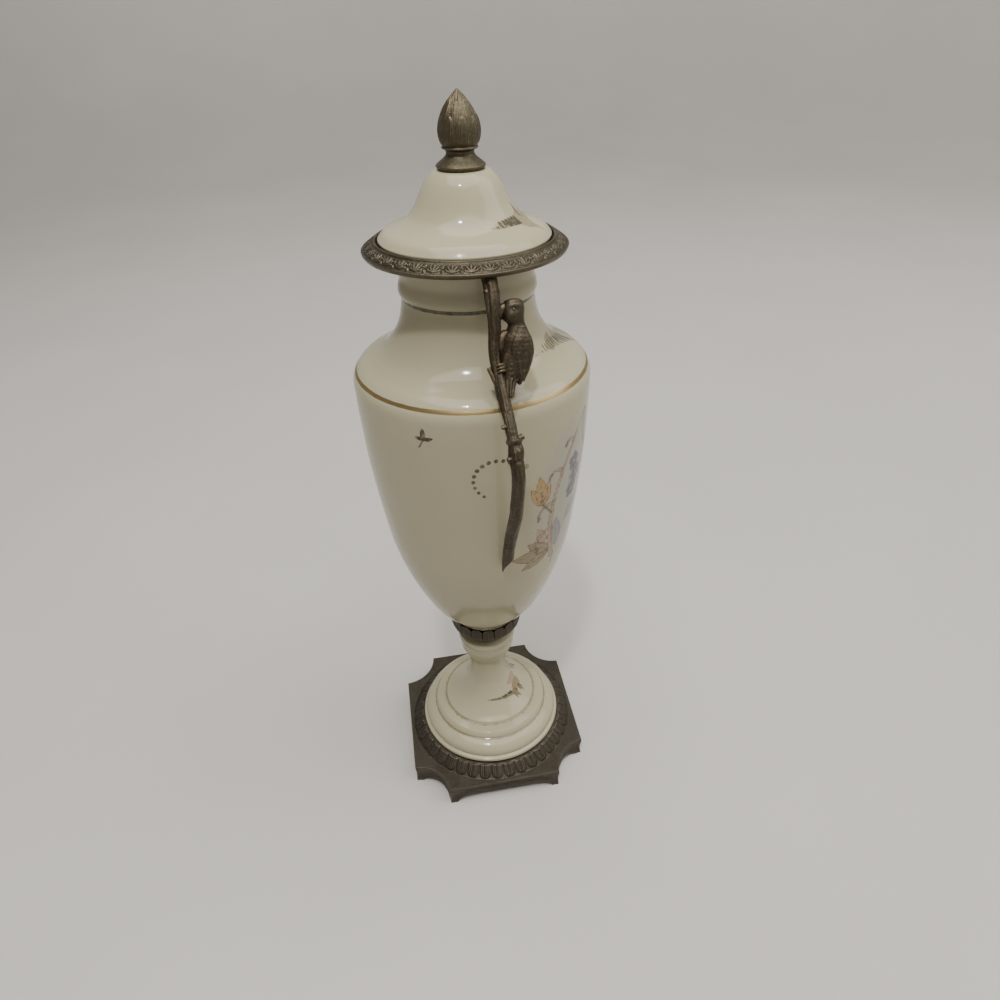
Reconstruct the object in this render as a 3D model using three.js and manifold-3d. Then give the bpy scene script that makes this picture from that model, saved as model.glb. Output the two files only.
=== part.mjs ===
// A covered mantel urn: white glazed porcelain in dark patinated bronze mounts.
// A square bronze plinth with hollowed corners carries a stepped porcelain foot. A bronze leaf collar
// joins the foot to the vase. A bronze ring with a leaf band sits on the vase's lip and holds the
// lid, and a branch handle with a clinging parrot hangs from it on each side. A bud stands on the lid.
// Millimetres, +Z up, origin on the floor under the middle of the urn. The front faces -Y.
import * as THREE from "three";
import { mergeVertices } from "three/addons/utils/BufferGeometryUtils.js";
import Module from "manifold-3d";

const wasm = await Module();
wasm.setup();

// Gap between two pieces that rest on each other
const joint = 0.3;
// Sides of a turned piece, and of a branch
const turnedSides = 32;
const branchSides = 8;

// Plinth: a hollow casting on eight toes, turned a little on its bolt against the handles
const plinthSide = 108.8;
const cornerLeg = 19.8; // along the side, from the square's missing corner to each tip
const cornerHollow = 5.5; // how deep the corner's curve goes in behind its chord
const plinthEdge = 13.2; // height of the top edge
const seatRise = 6; // from the top edge up to the seat of the foot
const plinthWall = 2.4;
const toeLength = 4.5;
const archRun = 13; // length over which the apron rises from a toe
const archRise = 6.6;
const cornerArchRise = 5;
const plinthTurn = THREE.MathUtils.degToRad(-5.8);
const leafBandWidth = 6.6;
const plinthLeaves = 40;
const plinthLeafHeight = 0.8;

// Foot: bead, two swelling steps, trumpet stem and knop
const footHeight = 75.3;
const footRadius = 44.4;
const beadHeight = 3.8;
const beadWidth = 1.7; // how far the bead stands out from the lower step
const lowerStepRadius = 36.4;
const lowerStepHeight = 8.1;
const upperStepRadius = 29.5;
const upperStepHeight = 5.2;
const stepSwell = 1.1;
const stepGroove = 0.5;
const stemRadius = 11.2;
const trumpetHeight = 33;
const trumpetPower = 3.2;
const knopRadius = 17.1;
const knopNeckRadius = 13.4;
const knopHeight = 17;
const footWall = 4;

// Collar: a cup of leaves under the vase
const collarHeight = 15.2;
const collarFloor = 1.2;
const collarSeatRadius = 12.1;
const collarBulge = 1; // how far the widest place stands out from the leaves' tips
const collarThickness = 0.8;
const collarLeaves = 18;
const collarLeafDepth = 2.2;

// Vase
const vaseWall = 3.4;
const vaseBaseRadius = 9.5;
const shoulderRadius = 55.4;
const bowlHeight = 165; // up to the widest place
const shoulderHeight = 42; // from there up to the groove under the neck's bead
const lipHeight = 17.5; // from the groove up to the rim
const neckRadius = 29.6;
const neckBead = 0.8;
const lipRadius = 30.2;
const mouthRadius = 26.6;

// Ring
const ringRadius = 43.9;
const ringHeight = 5.8;
const ringBore = 28;
const ringLedge = 3.8; // height of the ledge that the lid stands on
const ringEdge = 1.9; // height of the widest place
const ringMotifs = 36;
const ringRelief = 0.45;

// Lid
const lidRadius = 36.6;
const lidHeight = 26.8;
const lidWall = 3.2;
const lidClearance = 0.6; // between the lid's edge and the ring
const skirtRadius = 25.6;
const skirtDepth = 8.5;

// Finial: a disc foot, a neck and a leafy bud
const finialHeight = 27.4;
const finialFootRadius = 10.1;
const finialNeckRadius = 5.7;
const finialCollarRadius = 7.4;
const budRadius = 8.6;
const budLeaves = 9;
const budRelief = 0.5;

// Handles
const handleStandOff = 19.3; // how far the branch's line passes outside the widest vase
const handleInset = 5.6; // from the ring's edge in to the branch's top
const handleTipHeight = 86.5; // above the vase's underside
const branchRadius = 2.9; // at its thickest
const tipThickness = 2.4;

// Parrot on the front side of the branch, its length measured along the branch
const birdLength = 38;
const birdStart = 9.8; // length of branch above the crown

// Heights over the vase's underside
const neckHeight = bowlHeight + shoulderHeight;
const vaseHeight = neckHeight + lipHeight;

// Heights where the pieces stand on each other
const seatTop = plinthEdge + seatRise;
const footBottom = seatTop + joint;
const collarBottom = footBottom + footHeight + joint;
const vaseBottom = collarBottom + collarFloor + joint;
const ringBottom = vaseBottom + vaseHeight + joint;
const lidBottom = ringBottom + ringLedge + joint;
const finialBottom = lidBottom + lidHeight + joint;

// Materials
const porcelain = new THREE.MeshStandardMaterial({ color: 0xdedac6, roughness: 0.16, metalness: 0 });
const bronze = new THREE.MeshStandardMaterial({ color: 0x564a3a, roughness: 0.45, metalness: 0.85 });
const darkBronze = new THREE.MeshStandardMaterial({ color: 0x3b3329, roughness: 0.5, metalness: 0.85 });

const mix = THREE.MathUtils.lerp;
const smoothstep = THREE.MathUtils.smoothstep;

// Points [radius, height] on a smooth curve through the points given
function smooth(points, count) {
  const curve = new THREE.SplineCurve(points.map(([r, z]) => new THREE.Vector2(r, z)));
  return curve.getSpacedPoints(count).map((p) => [p.x, p.y]);
}

// A shallow convex curve from [r0, z0] to [r1, z1] that swells outwards by a height over its chord
function swelling(r0, z0, r1, z1, swell, count) {
  const chord = Math.hypot(r1 - r0, z1 - z0);
  return Array.from({ length: count + 1 }, (_, i) => {
    const t = i / count;
    const bulge = (4 * t * (1 - t) * swell) / chord;
    return [mix(r0, r1, t) + (z1 - z0) * bulge, mix(z0, z1, t) + (r0 - r1) * bulge];
  });
}

// The same outline, moved square to itself by a distance to the left of its direction
function offsetOutline(outline, distance) {
  return outline.map((point, i) => {
    const before = outline[Math.max(i - 1, 0)];
    const after = outline[Math.min(i + 1, outline.length - 1)];
    const dr = after[0] - before[0];
    const dz = after[1] - before[1];
    const length = Math.hypot(dr, dz);
    return [point[0] - (dz / length) * distance, point[1] + (dr / length) * distance];
  });
}

// A solid of revolution about Z. The outline starts and ends on the axis.
function turned(outline) {
  const points = outline.map(([r, z]) => new THREE.Vector2(r, z));
  return new THREE.LatheGeometry(points, turnedSides).rotateX(Math.PI / 2);
}

// Triangles between two rings. Rings of unlike counts are matched by their share of the way round.
function strip(lower, upper, firstLower, firstUpper, shareOf) {
  const faces = [];
  let [i, j] = [0, 0];
  while (i < lower.length || j < upper.length) {
    const a = firstLower + (i % lower.length);
    const b = firstUpper + (j % upper.length);
    const lowerIsNext = i < lower.length && shareOf(lower, i + 1) <= shareOf(upper, j + 1) + 1e-9;
    if (lowerIsNext || j === upper.length) {
      i++;
      faces.push(a, firstLower + (i % lower.length), b);
    } else {
      j++;
      faces.push(a, firstUpper + (j % upper.length), b);
    }
  }
  return faces;
}

const byCount = (ring, i) => i / ring.length;

// A closed skin over rings of points. An open row of rings gets a fan at each end.
function skin(rings, looped = false, shareOf = byCount) {
  const vertices = rings.flat();
  const firsts = rings.map((_, i) => rings.slice(0, i).flat().length);
  const faces = [];
  const last = looped ? rings.length : rings.length - 1;
  for (let i = 0; i < last; i++) {
    const next = (i + 1) % rings.length;
    faces.push(...strip(rings[i], rings[next], firsts[i], firsts[next], shareOf));
  }
  if (!looped) {
    for (const [i, flipped] of [[0, true], [rings.length - 1, false]]) {
      const middle = new THREE.Vector3();
      rings[i].forEach((p) => middle.addScaledVector(p, 1 / rings[i].length));
      vertices.push(middle);
      for (let j = 0; j < rings[i].length; j++) {
        const edge = [firsts[i] + j, firsts[i] + ((j + 1) % rings[i].length)];
        faces.push(...(flipped ? edge.reverse() : edge), vertices.length - 1);
      }
    }
  }
  const geometry = new THREE.BufferGeometry().setFromPoints(vertices);
  geometry.setIndex(faces);
  return geometry;
}

// Rings about Z whose outline changes round the piece: outline(j) gives the j-th side's [radius, height] points
function ringsAround(sides, outline) {
  const columns = Array.from({ length: sides }, (_, j) => {
    const angle = (j / sides) * 2 * Math.PI;
    return outline(j).map(([r, z]) => (
      new THREE.Vector3(r * Math.cos(angle), r * Math.sin(angle), z)));
  });
  return columns[0].map((_, i) => columns.map((column) => column[i]));
}

function asSolid(geometry) {
  const bare = geometry.clone();
  bare.deleteAttribute("normal");
  bare.deleteAttribute("uv");
  const merged = mergeVertices(bare, 1e-4);
  return new wasm.Manifold(
    new wasm.Mesh({
      numProp: 3,
      vertProperties: merged.attributes.position.array,
      triVerts: new Uint32Array(merged.index.array),
    }),
  );
}

function join(geometries) {
  const whole = geometries.map(asSolid).reduce((a, b) => a.add(b));
  const { vertProperties, triVerts } = whole.getMesh();
  const geometry = new THREE.BufferGeometry();
  geometry.setAttribute("position", new THREE.BufferAttribute(vertProperties, 3));
  geometry.setIndex(new THREE.BufferAttribute(triVerts, 1));
  return geometry;
}

// Plinth

// The plan's outline, anticlockwise, each point with the height of the apron's lower edge there
function plinthPlan() {
  const half = plinthSide / 2;
  const tip = half - cornerLeg;
  const rises = [0, toeLength, toeLength + archRun / 2, toeLength + archRun];
  const sidePlaces = [...rises, ...rises.map((s) => 2 * tip - s).reverse()];
  const chord = cornerLeg * Math.SQRT2;
  const radius = (chord * chord) / 8 / cornerHollow + cornerHollow / 2;
  const spread = Math.asin(chord / 2 / radius);
  const centre = (half + tip) / 2 + (radius - cornerHollow) * Math.SQRT1_2;
  const cornerSteps = 6;
  const arch = (fromTip, rise) => {
    const t = THREE.MathUtils.clamp((fromTip - toeLength) / archRun, 0, 1);
    return rise * Math.sqrt(1 - (1 - t) * (1 - t));
  };
  const plan = [];
  for (let quarter = 0; quarter < 4; quarter++) {
    const add = (x, y, bottom) => {
      const turn = (quarter * Math.PI) / 2 + plinthTurn;
      const p = new THREE.Vector2(x, y).rotateAround(new THREE.Vector2(), turn);
      plan.push({ x: p.x, y: p.y, bottom });
    };
    for (const s of sidePlaces) add(half, s - tip, arch(Math.min(s, 2 * tip - s), archRise));
    for (let i = 1; i < cornerSteps; i++) {
      const angle = 1.25 * Math.PI + spread * (1 - (2 * i) / cornerSteps);
      const fromTip = Math.min(i, cornerSteps - i) * (chord / cornerSteps);
      add(centre + radius * Math.cos(angle), centre + radius * Math.sin(angle), arch(fromTip, cornerArchRise));
    }
  }
  return plan;
}

// Share of the way round at which the i-th point of a ring lies, from the plan's first corner
function turnShare(ring, i) {
  if (i >= ring.length) return i / ring.length;
  const angle = Math.atan2(ring[i].y, ring[i].x) - Math.atan2(ring[0].y, ring[0].x);
  return THREE.MathUtils.euclideanModulo(angle / (2 * Math.PI), 1);
}

function plinth() {
  const plan = plinthPlan();
  const seatRadius = footRadius + 0.8;
  const bandFoot = seatRadius + leafBandWidth;
  const inside = 1 - (2 * plinthWall) / plinthSide;
  const start = Math.atan2(plan[0].y, plan[0].x);
  const round = (radius, z) => plan.map(({ x, y }) => (
    new THREE.Vector3(x, y, 0).setLength(radius).setZ(z)));
  const square = (share, z) => plan.map(({ x, y, bottom }) => (
    new THREE.Vector3(x * share, y * share, z ?? bottom)));
  // A ring of the leaf band: the ridges stand a height over the slope, and their toes reach further down it
  const band = (ridgeShare, grooveShare, height) => Array.from({ length: 2 * plinthLeaves }, (_, i) => {
    const ridge = i % 2;
    const share = ridge ? ridgeShare : grooveShare;
    const radius = mix(seatRadius, bandFoot, share) + 0.6 * height * ridge;
    const angle = start + (i / 2 / plinthLeaves) * 2 * Math.PI;
    const z = mix(seatTop, plinthEdge + 0.2, share) + 0.8 * height * ridge;
    return new THREE.Vector3(radius * Math.cos(angle), radius * Math.sin(angle), z);
  });
  return skin([
    round(seatRadius - plinthWall, seatTop - plinthWall),
    round(bandFoot - plinthWall, plinthEdge - plinthWall),
    square(inside, plinthEdge - plinthWall),
    square(inside),
    square(1),
    square(1, plinthEdge),
    band(1, 0.86, 0),
    band(0.5, 0.5, plinthLeafHeight),
    band(0, 0, 0),
  ], false, turnShare);
}

// Foot

const lowerStepTop = beadHeight + lowerStepHeight;
const upperStepTop = lowerStepTop + upperStepHeight;

function foot() {
  const stepFoot = footRadius - beadWidth;
  const trumpetFoot = upperStepTop + stepGroove;
  const trumpetSteps = 6;
  const trumpet = Array.from({ length: trumpetSteps + 1 }, (_, i) => {
    const rise = (i / trumpetSteps) ** 1.4;
    const flare = (1 - rise) ** trumpetPower;
    return [mix(stemRadius, upperStepRadius - 0.6, flare), trumpetFoot + rise * trumpetHeight];
  });
  const knopFoot = footHeight - knopHeight;
  const outer = [
    [footRadius - 0.8, 0],
    [footRadius, 0.36 * beadHeight],
    [footRadius - 0.2, 0.75 * beadHeight],
    ...swelling(stepFoot, beadHeight, lowerStepRadius, lowerStepTop, stepSwell, 3),
    ...swelling(lowerStepRadius - 0.5, lowerStepTop + stepGroove, upperStepRadius, upperStepTop, stepSwell, 2),
    ...trumpet,
    [stemRadius + 0.2, knopFoot - 2.4],
    [knopNeckRadius, knopFoot],
    [knopNeckRadius, knopFoot + 1.3],
    [mix(knopNeckRadius, knopRadius, 0.6), knopFoot + 0.48 * knopHeight],
    [knopRadius, knopFoot + 0.8 * knopHeight],
    [knopRadius - 0.6, footHeight - 1.3],
    [collarSeatRadius + 1.5, footHeight],
  ];
  const hollowTop = upperStepTop + trumpetHeight;
  const hollow = [
    [0, hollowTop],
    [stemRadius - footWall, hollowTop],
    [stemRadius - footWall, mix(upperStepTop, hollowTop, 0.5)],
    [upperStepRadius - footWall, upperStepTop - footWall],
    [lowerStepRadius - footWall, lowerStepTop - footWall],
    [stepFoot - footWall, 0],
  ];
  return turned([...hollow, ...outer, [0, footHeight]]);
}

// Collar

// Outside of the cup: share of the way out from the seat to the widest place, and of the height
const cupShares = [[0.5, 0.28], [0.86, 0.46], [1, 0.6]];

function collar() {
  const tipRadius = bowlRadius(collarHeight - collarFloor - joint) + joint + collarThickness;
  const collarRadius = tipRadius + collarBulge;
  const outside = cupShares.map(([out, up]) => [mix(collarSeatRadius, collarRadius, out), up * collarHeight]);
  const inside = outside.map(([r, z]) => [r - collarThickness, z + 0.3]).reverse();
  return skin(ringsAround(2 * collarLeaves, (j) => {
    const tip = collarHeight - (j % 2 ? 0 : collarLeafDepth);
    return [
      [collarSeatRadius, 0],
      ...outside,
      [tipRadius, tip],
      [tipRadius - collarThickness, tip - 0.1],
      ...inside,
      [collarSeatRadius - 0.5, collarFloor],
    ];
  }));
}

// Vase

// Bowl: share of the shoulder's radius, and of the height up to it
const bowlShares = [[0.18, 0.005], [0.24, 0.04], [0.33, 0.08], [0.433, 0.12], [0.545, 0.175],
  [0.65, 0.247], [0.756, 0.338], [0.858, 0.46], [0.93, 0.63], [0.98, 0.81], [1, 1]];
// Shoulder: share of the way out from the neck, and of the way up to the neck's groove
const shoulderShares = [[1, 0], [0.99, 0.14], [0.95, 0.225], [0.75, 0.32], [0.46, 0.41], [0.245, 0.54],
  [0.1, 0.69], [0.02, 0.86], [0, 1]];

const bowlCurve = new THREE.SplineCurve(bowlShares.map(([out, up]) => (
  new THREE.Vector2(out * shoulderRadius, up * bowlHeight))));

// Radius of the bowl at a height over the vase's underside
function bowlRadius(height) {
  const near = bowlCurve.getPoints(200).find((p) => p.y >= height);
  return near.x;
}

function vase() {
  const shoulder = shoulderShares.map(([out, up]) => [
    mix(neckRadius, shoulderRadius, out),
    mix(bowlHeight, neckHeight, up),
  ]);
  const bowl = bowlCurve.getSpacedPoints(10).map((p) => [p.x, p.y]);
  const outer = [...bowl, ...smooth(shoulder, 8).slice(1)];
  const inner = offsetOutline(outer, vaseWall).filter((_, i) => i % 2 === 0 && i > 1 && i < outer.length - 2);
  return turned([
    [0, 0],
    [vaseBaseRadius, 0],
    ...outer,
    [neckRadius + neckBead, neckHeight + 1.8],
    [neckRadius + neckBead, neckHeight + 4],
    [neckRadius - 0.3, neckHeight + 8.4],
    [lipRadius, vaseHeight - 2.5],
    [lipRadius, vaseHeight],
    [mouthRadius, vaseHeight],
    [mouthRadius, neckHeight],
    ...inner.reverse(),
    [0, 2 * vaseWall],
  ]);
}

// Ring

function ring() {
  const seat = lidRadius + lidClearance;
  const faceTop = [seat + 0.9, ringHeight];
  const faceFoot = [ringRadius, ringEdge];
  const tilt = Math.atan2(faceTop[1] - faceFoot[1], faceFoot[0] - faceTop[0]);
  const onFace = (share, out) => [
    mix(faceTop[0], faceFoot[0], share) + out * Math.sin(tilt),
    mix(faceTop[1], faceFoot[1], share) + out * Math.cos(tilt),
  ];
  return skin(ringsAround(2 * ringMotifs, (j) => {
    const relief = j % 2 ? 0.25 * ringRelief : -ringRelief;
    return [
      [ringBore, 0],
      [ringRadius - 1, 0],
      faceFoot,
      onFace(0.8, relief),
      onFace(0.16, relief),
      faceTop,
      [seat, ringLedge],
      [ringBore, ringLedge],
    ];
  }), true);
}

// Lid

// Share of the lid's radius and of its height, from the edge to the flat top
const lidShares = [[1, 0.07], [0.99, 0.11], [0.94, 0.165], [0.8, 0.25], [0.69, 0.32], [0.615, 0.4],
  [0.56, 0.5], [0.51, 0.62], [0.46, 0.75], [0.415, 0.86], [0.36, 0.94], [0.3, 1]];

function lid() {
  const crown = smooth(lidShares.map(([out, up]) => [lidRadius * out, lidHeight * up]), 9);
  const under = offsetOutline(crown, lidWall).filter(([r], i) => (
    i % 2 === 0 && r < skirtRadius - lidWall && r > finialNeckRadius));
  return turned([
    [0, lidHeight - lidWall],
    ...under.reverse(),
    [skirtRadius - lidWall, -skirtDepth],
    [skirtRadius, -skirtDepth],
    [skirtRadius, 0],
    [lidRadius - 0.4, 0],
    ...crown,
    [0, lidHeight],
  ]);
}

// Finial

// Share of the bud's radius, and of the way up from its collar to its tip
const budShares = [[0.84, 0.02], [0.95, 0.15], [1, 0.28], [0.95, 0.43], [0.82, 0.58],
  [0.63, 0.73], [0.41, 0.86], [0.2, 0.95], [0.02, 1]];

function finial() {
  const budFoot = 0.3 * finialHeight;
  const stem = [
    [finialFootRadius - 0.6, 0],
    [finialFootRadius, 0.045 * finialHeight],
    [finialNeckRadius + 1.6, 0.13 * finialHeight],
    [finialNeckRadius, 0.18 * finialHeight],
    [finialNeckRadius, 0.235 * finialHeight],
    [finialCollarRadius, 0.265 * finialHeight],
    [finialCollarRadius, 0.29 * finialHeight],
  ];
  return skin(ringsAround(2 * budLeaves, (j) => [
    ...stem,
    ...budShares.map(([out, up], i) => {
      const groove = (j + Math.floor(i / 2)) % 2 ? budRelief * Math.min(1, 2 * out) : 0;
      return [Math.max(budRadius * out - groove, 0.1), mix(budFoot, finialHeight, up)];
    }),
  ]));
}

// Handles

// The branch's line: share of its reach, share of its drop, and step to the front.
// It drops first from the ring to the level of the vase's widest place, then from there to its tip.
const upperBranch = [[0, 0, 0], [0.15, 0.142, -0.2], [0.23, 0.29, -0.6], [0.33, 0.494, -1.4],
  [0.527, 0.666, -1.3], [0.815, 0.9, -0.3]];
const lowerBranch = [[1, 0.112, 0], [0.907, 0.367, 0], [0.596, 0.684, 0]];
// Thickness along the branch: share of its length, and of its greatest radius
const branchThickness = [[0, 0.93], [0.12, 0.9], [0.3, 0.83], [0.38, 0.74], [0.42, 0.76], [0.47, 0.96],
  [0.62, 1], [0.85, 0.95], [1, 0.8]];

function branchLine() {
  const top = ringRadius - handleInset;
  const reach = shoulderRadius + handleStandOff;
  const topZ = ringBottom - joint;
  const tipZ = vaseBottom + handleTipHeight;
  const shoulderZ = vaseBottom + bowlHeight;
  const place = (from, to) => ([out, down, front]) => (
    new THREE.Vector3(mix(top, reach, out), -front, mix(from, to, down)));
  const points = [...upperBranch.map(place(topZ, shoulderZ)), ...lowerBranch.map(place(shoulderZ, tipZ))];
  const tip = bowlRadius(handleTipHeight) + joint + 0.75 * tipThickness;
  points.push(new THREE.Vector3(tip, 0, tipZ));
  return new THREE.CatmullRomCurve3(points);
}

const line = branchLine();
const lineLength = line.getLength();

// Place and directions at a share of the branch's length: along it, out from the vase, and to the front
function branchFrame(share) {
  const along = line.getTangentAt(share);
  const out = new THREE.Vector3(0, -1, 0).cross(along).normalize();
  const front = new THREE.Vector3().crossVectors(along, out);
  return { at: line.getPointAt(share), along, out, front };
}

function thicknessAt(share) {
  const next = Math.max(1, branchThickness.findIndex(([s]) => s >= share));
  const [s0, t0] = branchThickness[next - 1];
  const [s1, t1] = branchThickness[next];
  return branchRadius * mix(t0, t1, (share - s0) / (s1 - s0));
}

// A ring of points square to the branch, moved from its line by steps outwards and to the front
function crossSection(share, sides, { out = 0, front = 0, wide, deep }) {
  const frame = branchFrame(share);
  return Array.from({ length: sides }, (_, j) => {
    const a = (j / sides) * 2 * Math.PI;
    return frame.at.clone()
      .addScaledVector(frame.out, out + wide * Math.cos(a))
      .addScaledVector(frame.front, front + deep * Math.sin(a));
  });
}

function branch() {
  const steps = 21;
  const rings = Array.from({ length: steps + 1 }, (_, i) => {
    const share = i / steps;
    const thick = thicknessAt(share);
    const flat = smoothstep(share, 0.7, 1);
    const cut = smoothstep(share, 0.93, 1);
    const wide = mix(thick, tipThickness / 2, flat) * (1 - 0.5 * cut);
    const deep = thick * (1 - 0.85 * cut);
    return crossSection(share, branchSides, { front: -0.8 * thick * cut, wide, deep });
  });
  for (const point of rings[0]) point.z = ringBottom - joint;
  return skin(rings);
}

// A stub that leaves the branch at a share of its length, by a direction along, outwards and to the front
function stub(share, [along, out, front], length, radius) {
  const frame = branchFrame(share);
  const direction = new THREE.Vector3()
    .addScaledVector(frame.along, along)
    .addScaledVector(frame.out, out)
    .addScaledVector(frame.front, front)
    .normalize();
  const cone = new THREE.CylinderGeometry(radius, radius * 1.15, length, 5).translate(0, length / 2, 0);
  cone.applyQuaternion(new THREE.Quaternion().setFromUnitVectors(new THREE.Vector3(0, 1, 0), direction));
  return cone.translate(frame.at.x, frame.at.y, frame.at.z);
}

// The parrot in shares of its length. Each row: down from the crown, off the branch, half depth, half width.
const birdRows = [[0, 0.21, 0.085, 0.07], [0.07, 0.205, 0.118, 0.102], [0.135, 0.2, 0.12, 0.108],
  [0.19, 0.204, 0.112, 0.1], [0.24, 0.232, 0.09, 0.09], [0.29, 0.236, 0.11, 0.113],
  [0.36, 0.218, 0.15, 0.137], [0.51, 0.208, 0.165, 0.142], [0.64, 0.198, 0.165, 0.132],
  [0.76, 0.172, 0.135, 0.103], [0.84, 0.108, 0.076, 0.068], [0.99, 0.066, 0.042, 0.05]];
// A folded wing: as above, then the step aside from the parrot's middle
const wingRows = [[0.27, 0.26, 0.05, 0.03, 0.09], [0.38, 0.258, 0.106, 0.044, 0.12],
  [0.55, 0.258, 0.118, 0.045, 0.126], [0.73, 0.245, 0.08, 0.036, 0.1], [0.86, 0.225, 0.02, 0.02, 0.07]];
const beakPlace = { down: 0.06, off: 0.125, length: 0.16, radius: 0.055, hook: 0.5 };
const clawPlaces = [0.62, 0.68];

const alongBird = (down) => (birdStart + down * birdLength) / lineLength;

function birdLoft(rows, sides, side = 0) {
  return skin(rows.map(([down, off, deep, wide, aside = 0]) => (
    crossSection(alongBird(down), sides, {
      out: side * aside * birdLength,
      front: off * birdLength,
      wide: wide * birdLength,
      deep: deep * birdLength,
    }))));
}

function beak() {
  const { down, off, length, radius, hook } = beakPlace;
  const frame = branchFrame(alongBird(down));
  const direction = frame.front.clone().multiplyScalar(-hook).addScaledVector(frame.along, 1).normalize();
  const from = frame.at.clone().addScaledVector(frame.front, off * birdLength);
  const cone = new THREE.ConeGeometry(radius * birdLength, length * birdLength, 6)
    .translate(0, (length * birdLength) / 2, 0);
  cone.applyQuaternion(new THREE.Quaternion().setFromUnitVectors(new THREE.Vector3(0, 1, 0), direction));
  return cone.translate(from.x, from.y, from.z);
}

function parrot() {
  return [
    birdLoft(birdRows, 8),
    birdLoft(wingRows, 6, 1),
    birdLoft(wingRows, 6, -1),
    beak(),
    ...clawPlaces.flatMap((down) => [
      stub(alongBird(down), [0, 1, 0.4], 3.6, 0.8),
      stub(alongBird(down), [0, -1, 0.4], 3.6, 0.8),
    ]),
  ];
}

function handle() {
  return join([
    branch(),
    stub(0.035, [0.6, 0.3, -1], 3.4, 1.9), // bud under the ring
    stub(0.305, [-1, 0, -0.17], 12.5, 1.1), // sawn twig behind the parrot
    stub(0.385, [0, 0, -1], 3.8, 1.1),
    stub(0.432, [-0.3, 0.9, 1], 5.2, 1.7), // sawn side branch
    stub(0.47, [0, 0.2, -1], 4.3, 1.4),
    ...parrot(),
  ]);
}

function piece(name, geometry, material) {
  const mesh = new THREE.Mesh(geometry, material);
  mesh.name = name;
  return mesh;
}

const urn = new THREE.Group();
urn.name = "mantel_urn";

const seated = [
  [piece("plinth", plinth(), darkBronze), 0],
  [piece("foot", foot(), porcelain), footBottom],
  [piece("collar", collar(), darkBronze), collarBottom],
  [piece("vase", vase(), porcelain), vaseBottom],
  [piece("ring", ring(), bronze), ringBottom],
  [piece("lid", lid(), porcelain), lidBottom],
  [piece("finial", finial(), bronze), finialBottom],
];
for (const [mesh, height] of seated) {
  mesh.position.z = height;
  urn.add(mesh);
}

const handleGeometry = handle();
for (const [name, side] of [["handle_right", 1], ["handle_left", -1]]) {
  const mesh = piece(name, handleGeometry, bronze);
  mesh.scale.x = side;
  urn.add(mesh);
}

export default urn;
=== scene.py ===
import math

import bpy
import numpy as np
from mathutils import Matrix, Vector, noise


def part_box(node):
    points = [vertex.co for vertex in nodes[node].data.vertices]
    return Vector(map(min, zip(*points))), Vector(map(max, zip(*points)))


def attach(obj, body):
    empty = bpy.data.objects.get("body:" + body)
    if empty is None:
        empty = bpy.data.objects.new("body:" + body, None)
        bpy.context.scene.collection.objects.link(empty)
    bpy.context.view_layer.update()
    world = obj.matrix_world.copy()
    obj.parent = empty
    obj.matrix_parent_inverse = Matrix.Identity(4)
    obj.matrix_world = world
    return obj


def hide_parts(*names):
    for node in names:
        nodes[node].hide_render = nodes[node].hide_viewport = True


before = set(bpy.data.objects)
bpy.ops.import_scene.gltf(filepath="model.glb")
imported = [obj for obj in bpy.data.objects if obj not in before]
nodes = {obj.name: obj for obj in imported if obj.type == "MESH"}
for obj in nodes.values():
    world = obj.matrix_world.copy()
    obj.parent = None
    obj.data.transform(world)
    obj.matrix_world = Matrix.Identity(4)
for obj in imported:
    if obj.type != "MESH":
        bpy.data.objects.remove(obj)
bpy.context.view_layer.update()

MM = 0.001


# Shapes from the frame


def outline_of(node):
    """The node's outline where it meets the half-plane y = 0, x > 0, as rows [radius, height] in mm."""
    mesh = nodes[node].data
    places = np.array([v.co for v in mesh.vertices]) / MM
    in_plane = (np.abs(places[:, 1]) < 0.002) & (places[:, 0] > -0.002)
    links = {}
    for edge in mesh.edges:
        a, b = edge.vertices
        if in_plane[a] and in_plane[b]:
            ka, kb = (tuple(np.round(places[i][[0, 2]], 2) + 0.0) for i in (a, b))
            if ka != kb:
                links.setdefault(ka, set()).add(kb)
                links.setdefault(kb, set()).add(ka)
    ends = sorted((k for k in links if len(links[k]) == 1), key=lambda k: k[1])
    path = [ends[0]]
    while True:
        onward = [k for k in links[path[-1]] if len(path) < 2 or k != path[-2]]
        if not onward:
            return np.array(path)
        path.append(onward[0])


def catmull(points, step):
    """A smooth line through points of any dimension, with a point about every step."""
    p = np.asarray(points, float)
    p = np.vstack([2 * p[0] - p[1], p, 2 * p[-1] - p[-2]])
    line = []
    for i in range(1, len(p) - 2):
        k = np.sqrt(np.maximum(np.linalg.norm(np.diff(p[i - 1:i + 3], axis=0), axis=1), 1e-6))
        t = np.array([0, k[0], k[0] + k[1], k.sum()])
        count = max(1, int(round(np.linalg.norm(p[i + 1] - p[i]) / step)))
        for s in np.linspace(t[1], t[2], count, endpoint=False):
            a = [(p[i - 1 + j] * (t[j + 1] - s) + p[i + j] * (s - t[j])) / (t[j + 1] - t[j])
                 for j in range(3)]
            b = [(a[j] * (t[j + 2] - s) + a[j + 1] * (s - t[j])) / (t[j + 2] - t[j]) for j in range(2)]
            line.append((b[0] * (t[2] - s) + b[1] * (s - t[1])) / (t[2] - t[1]))
    return np.array(line + [p[-2]])


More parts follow.
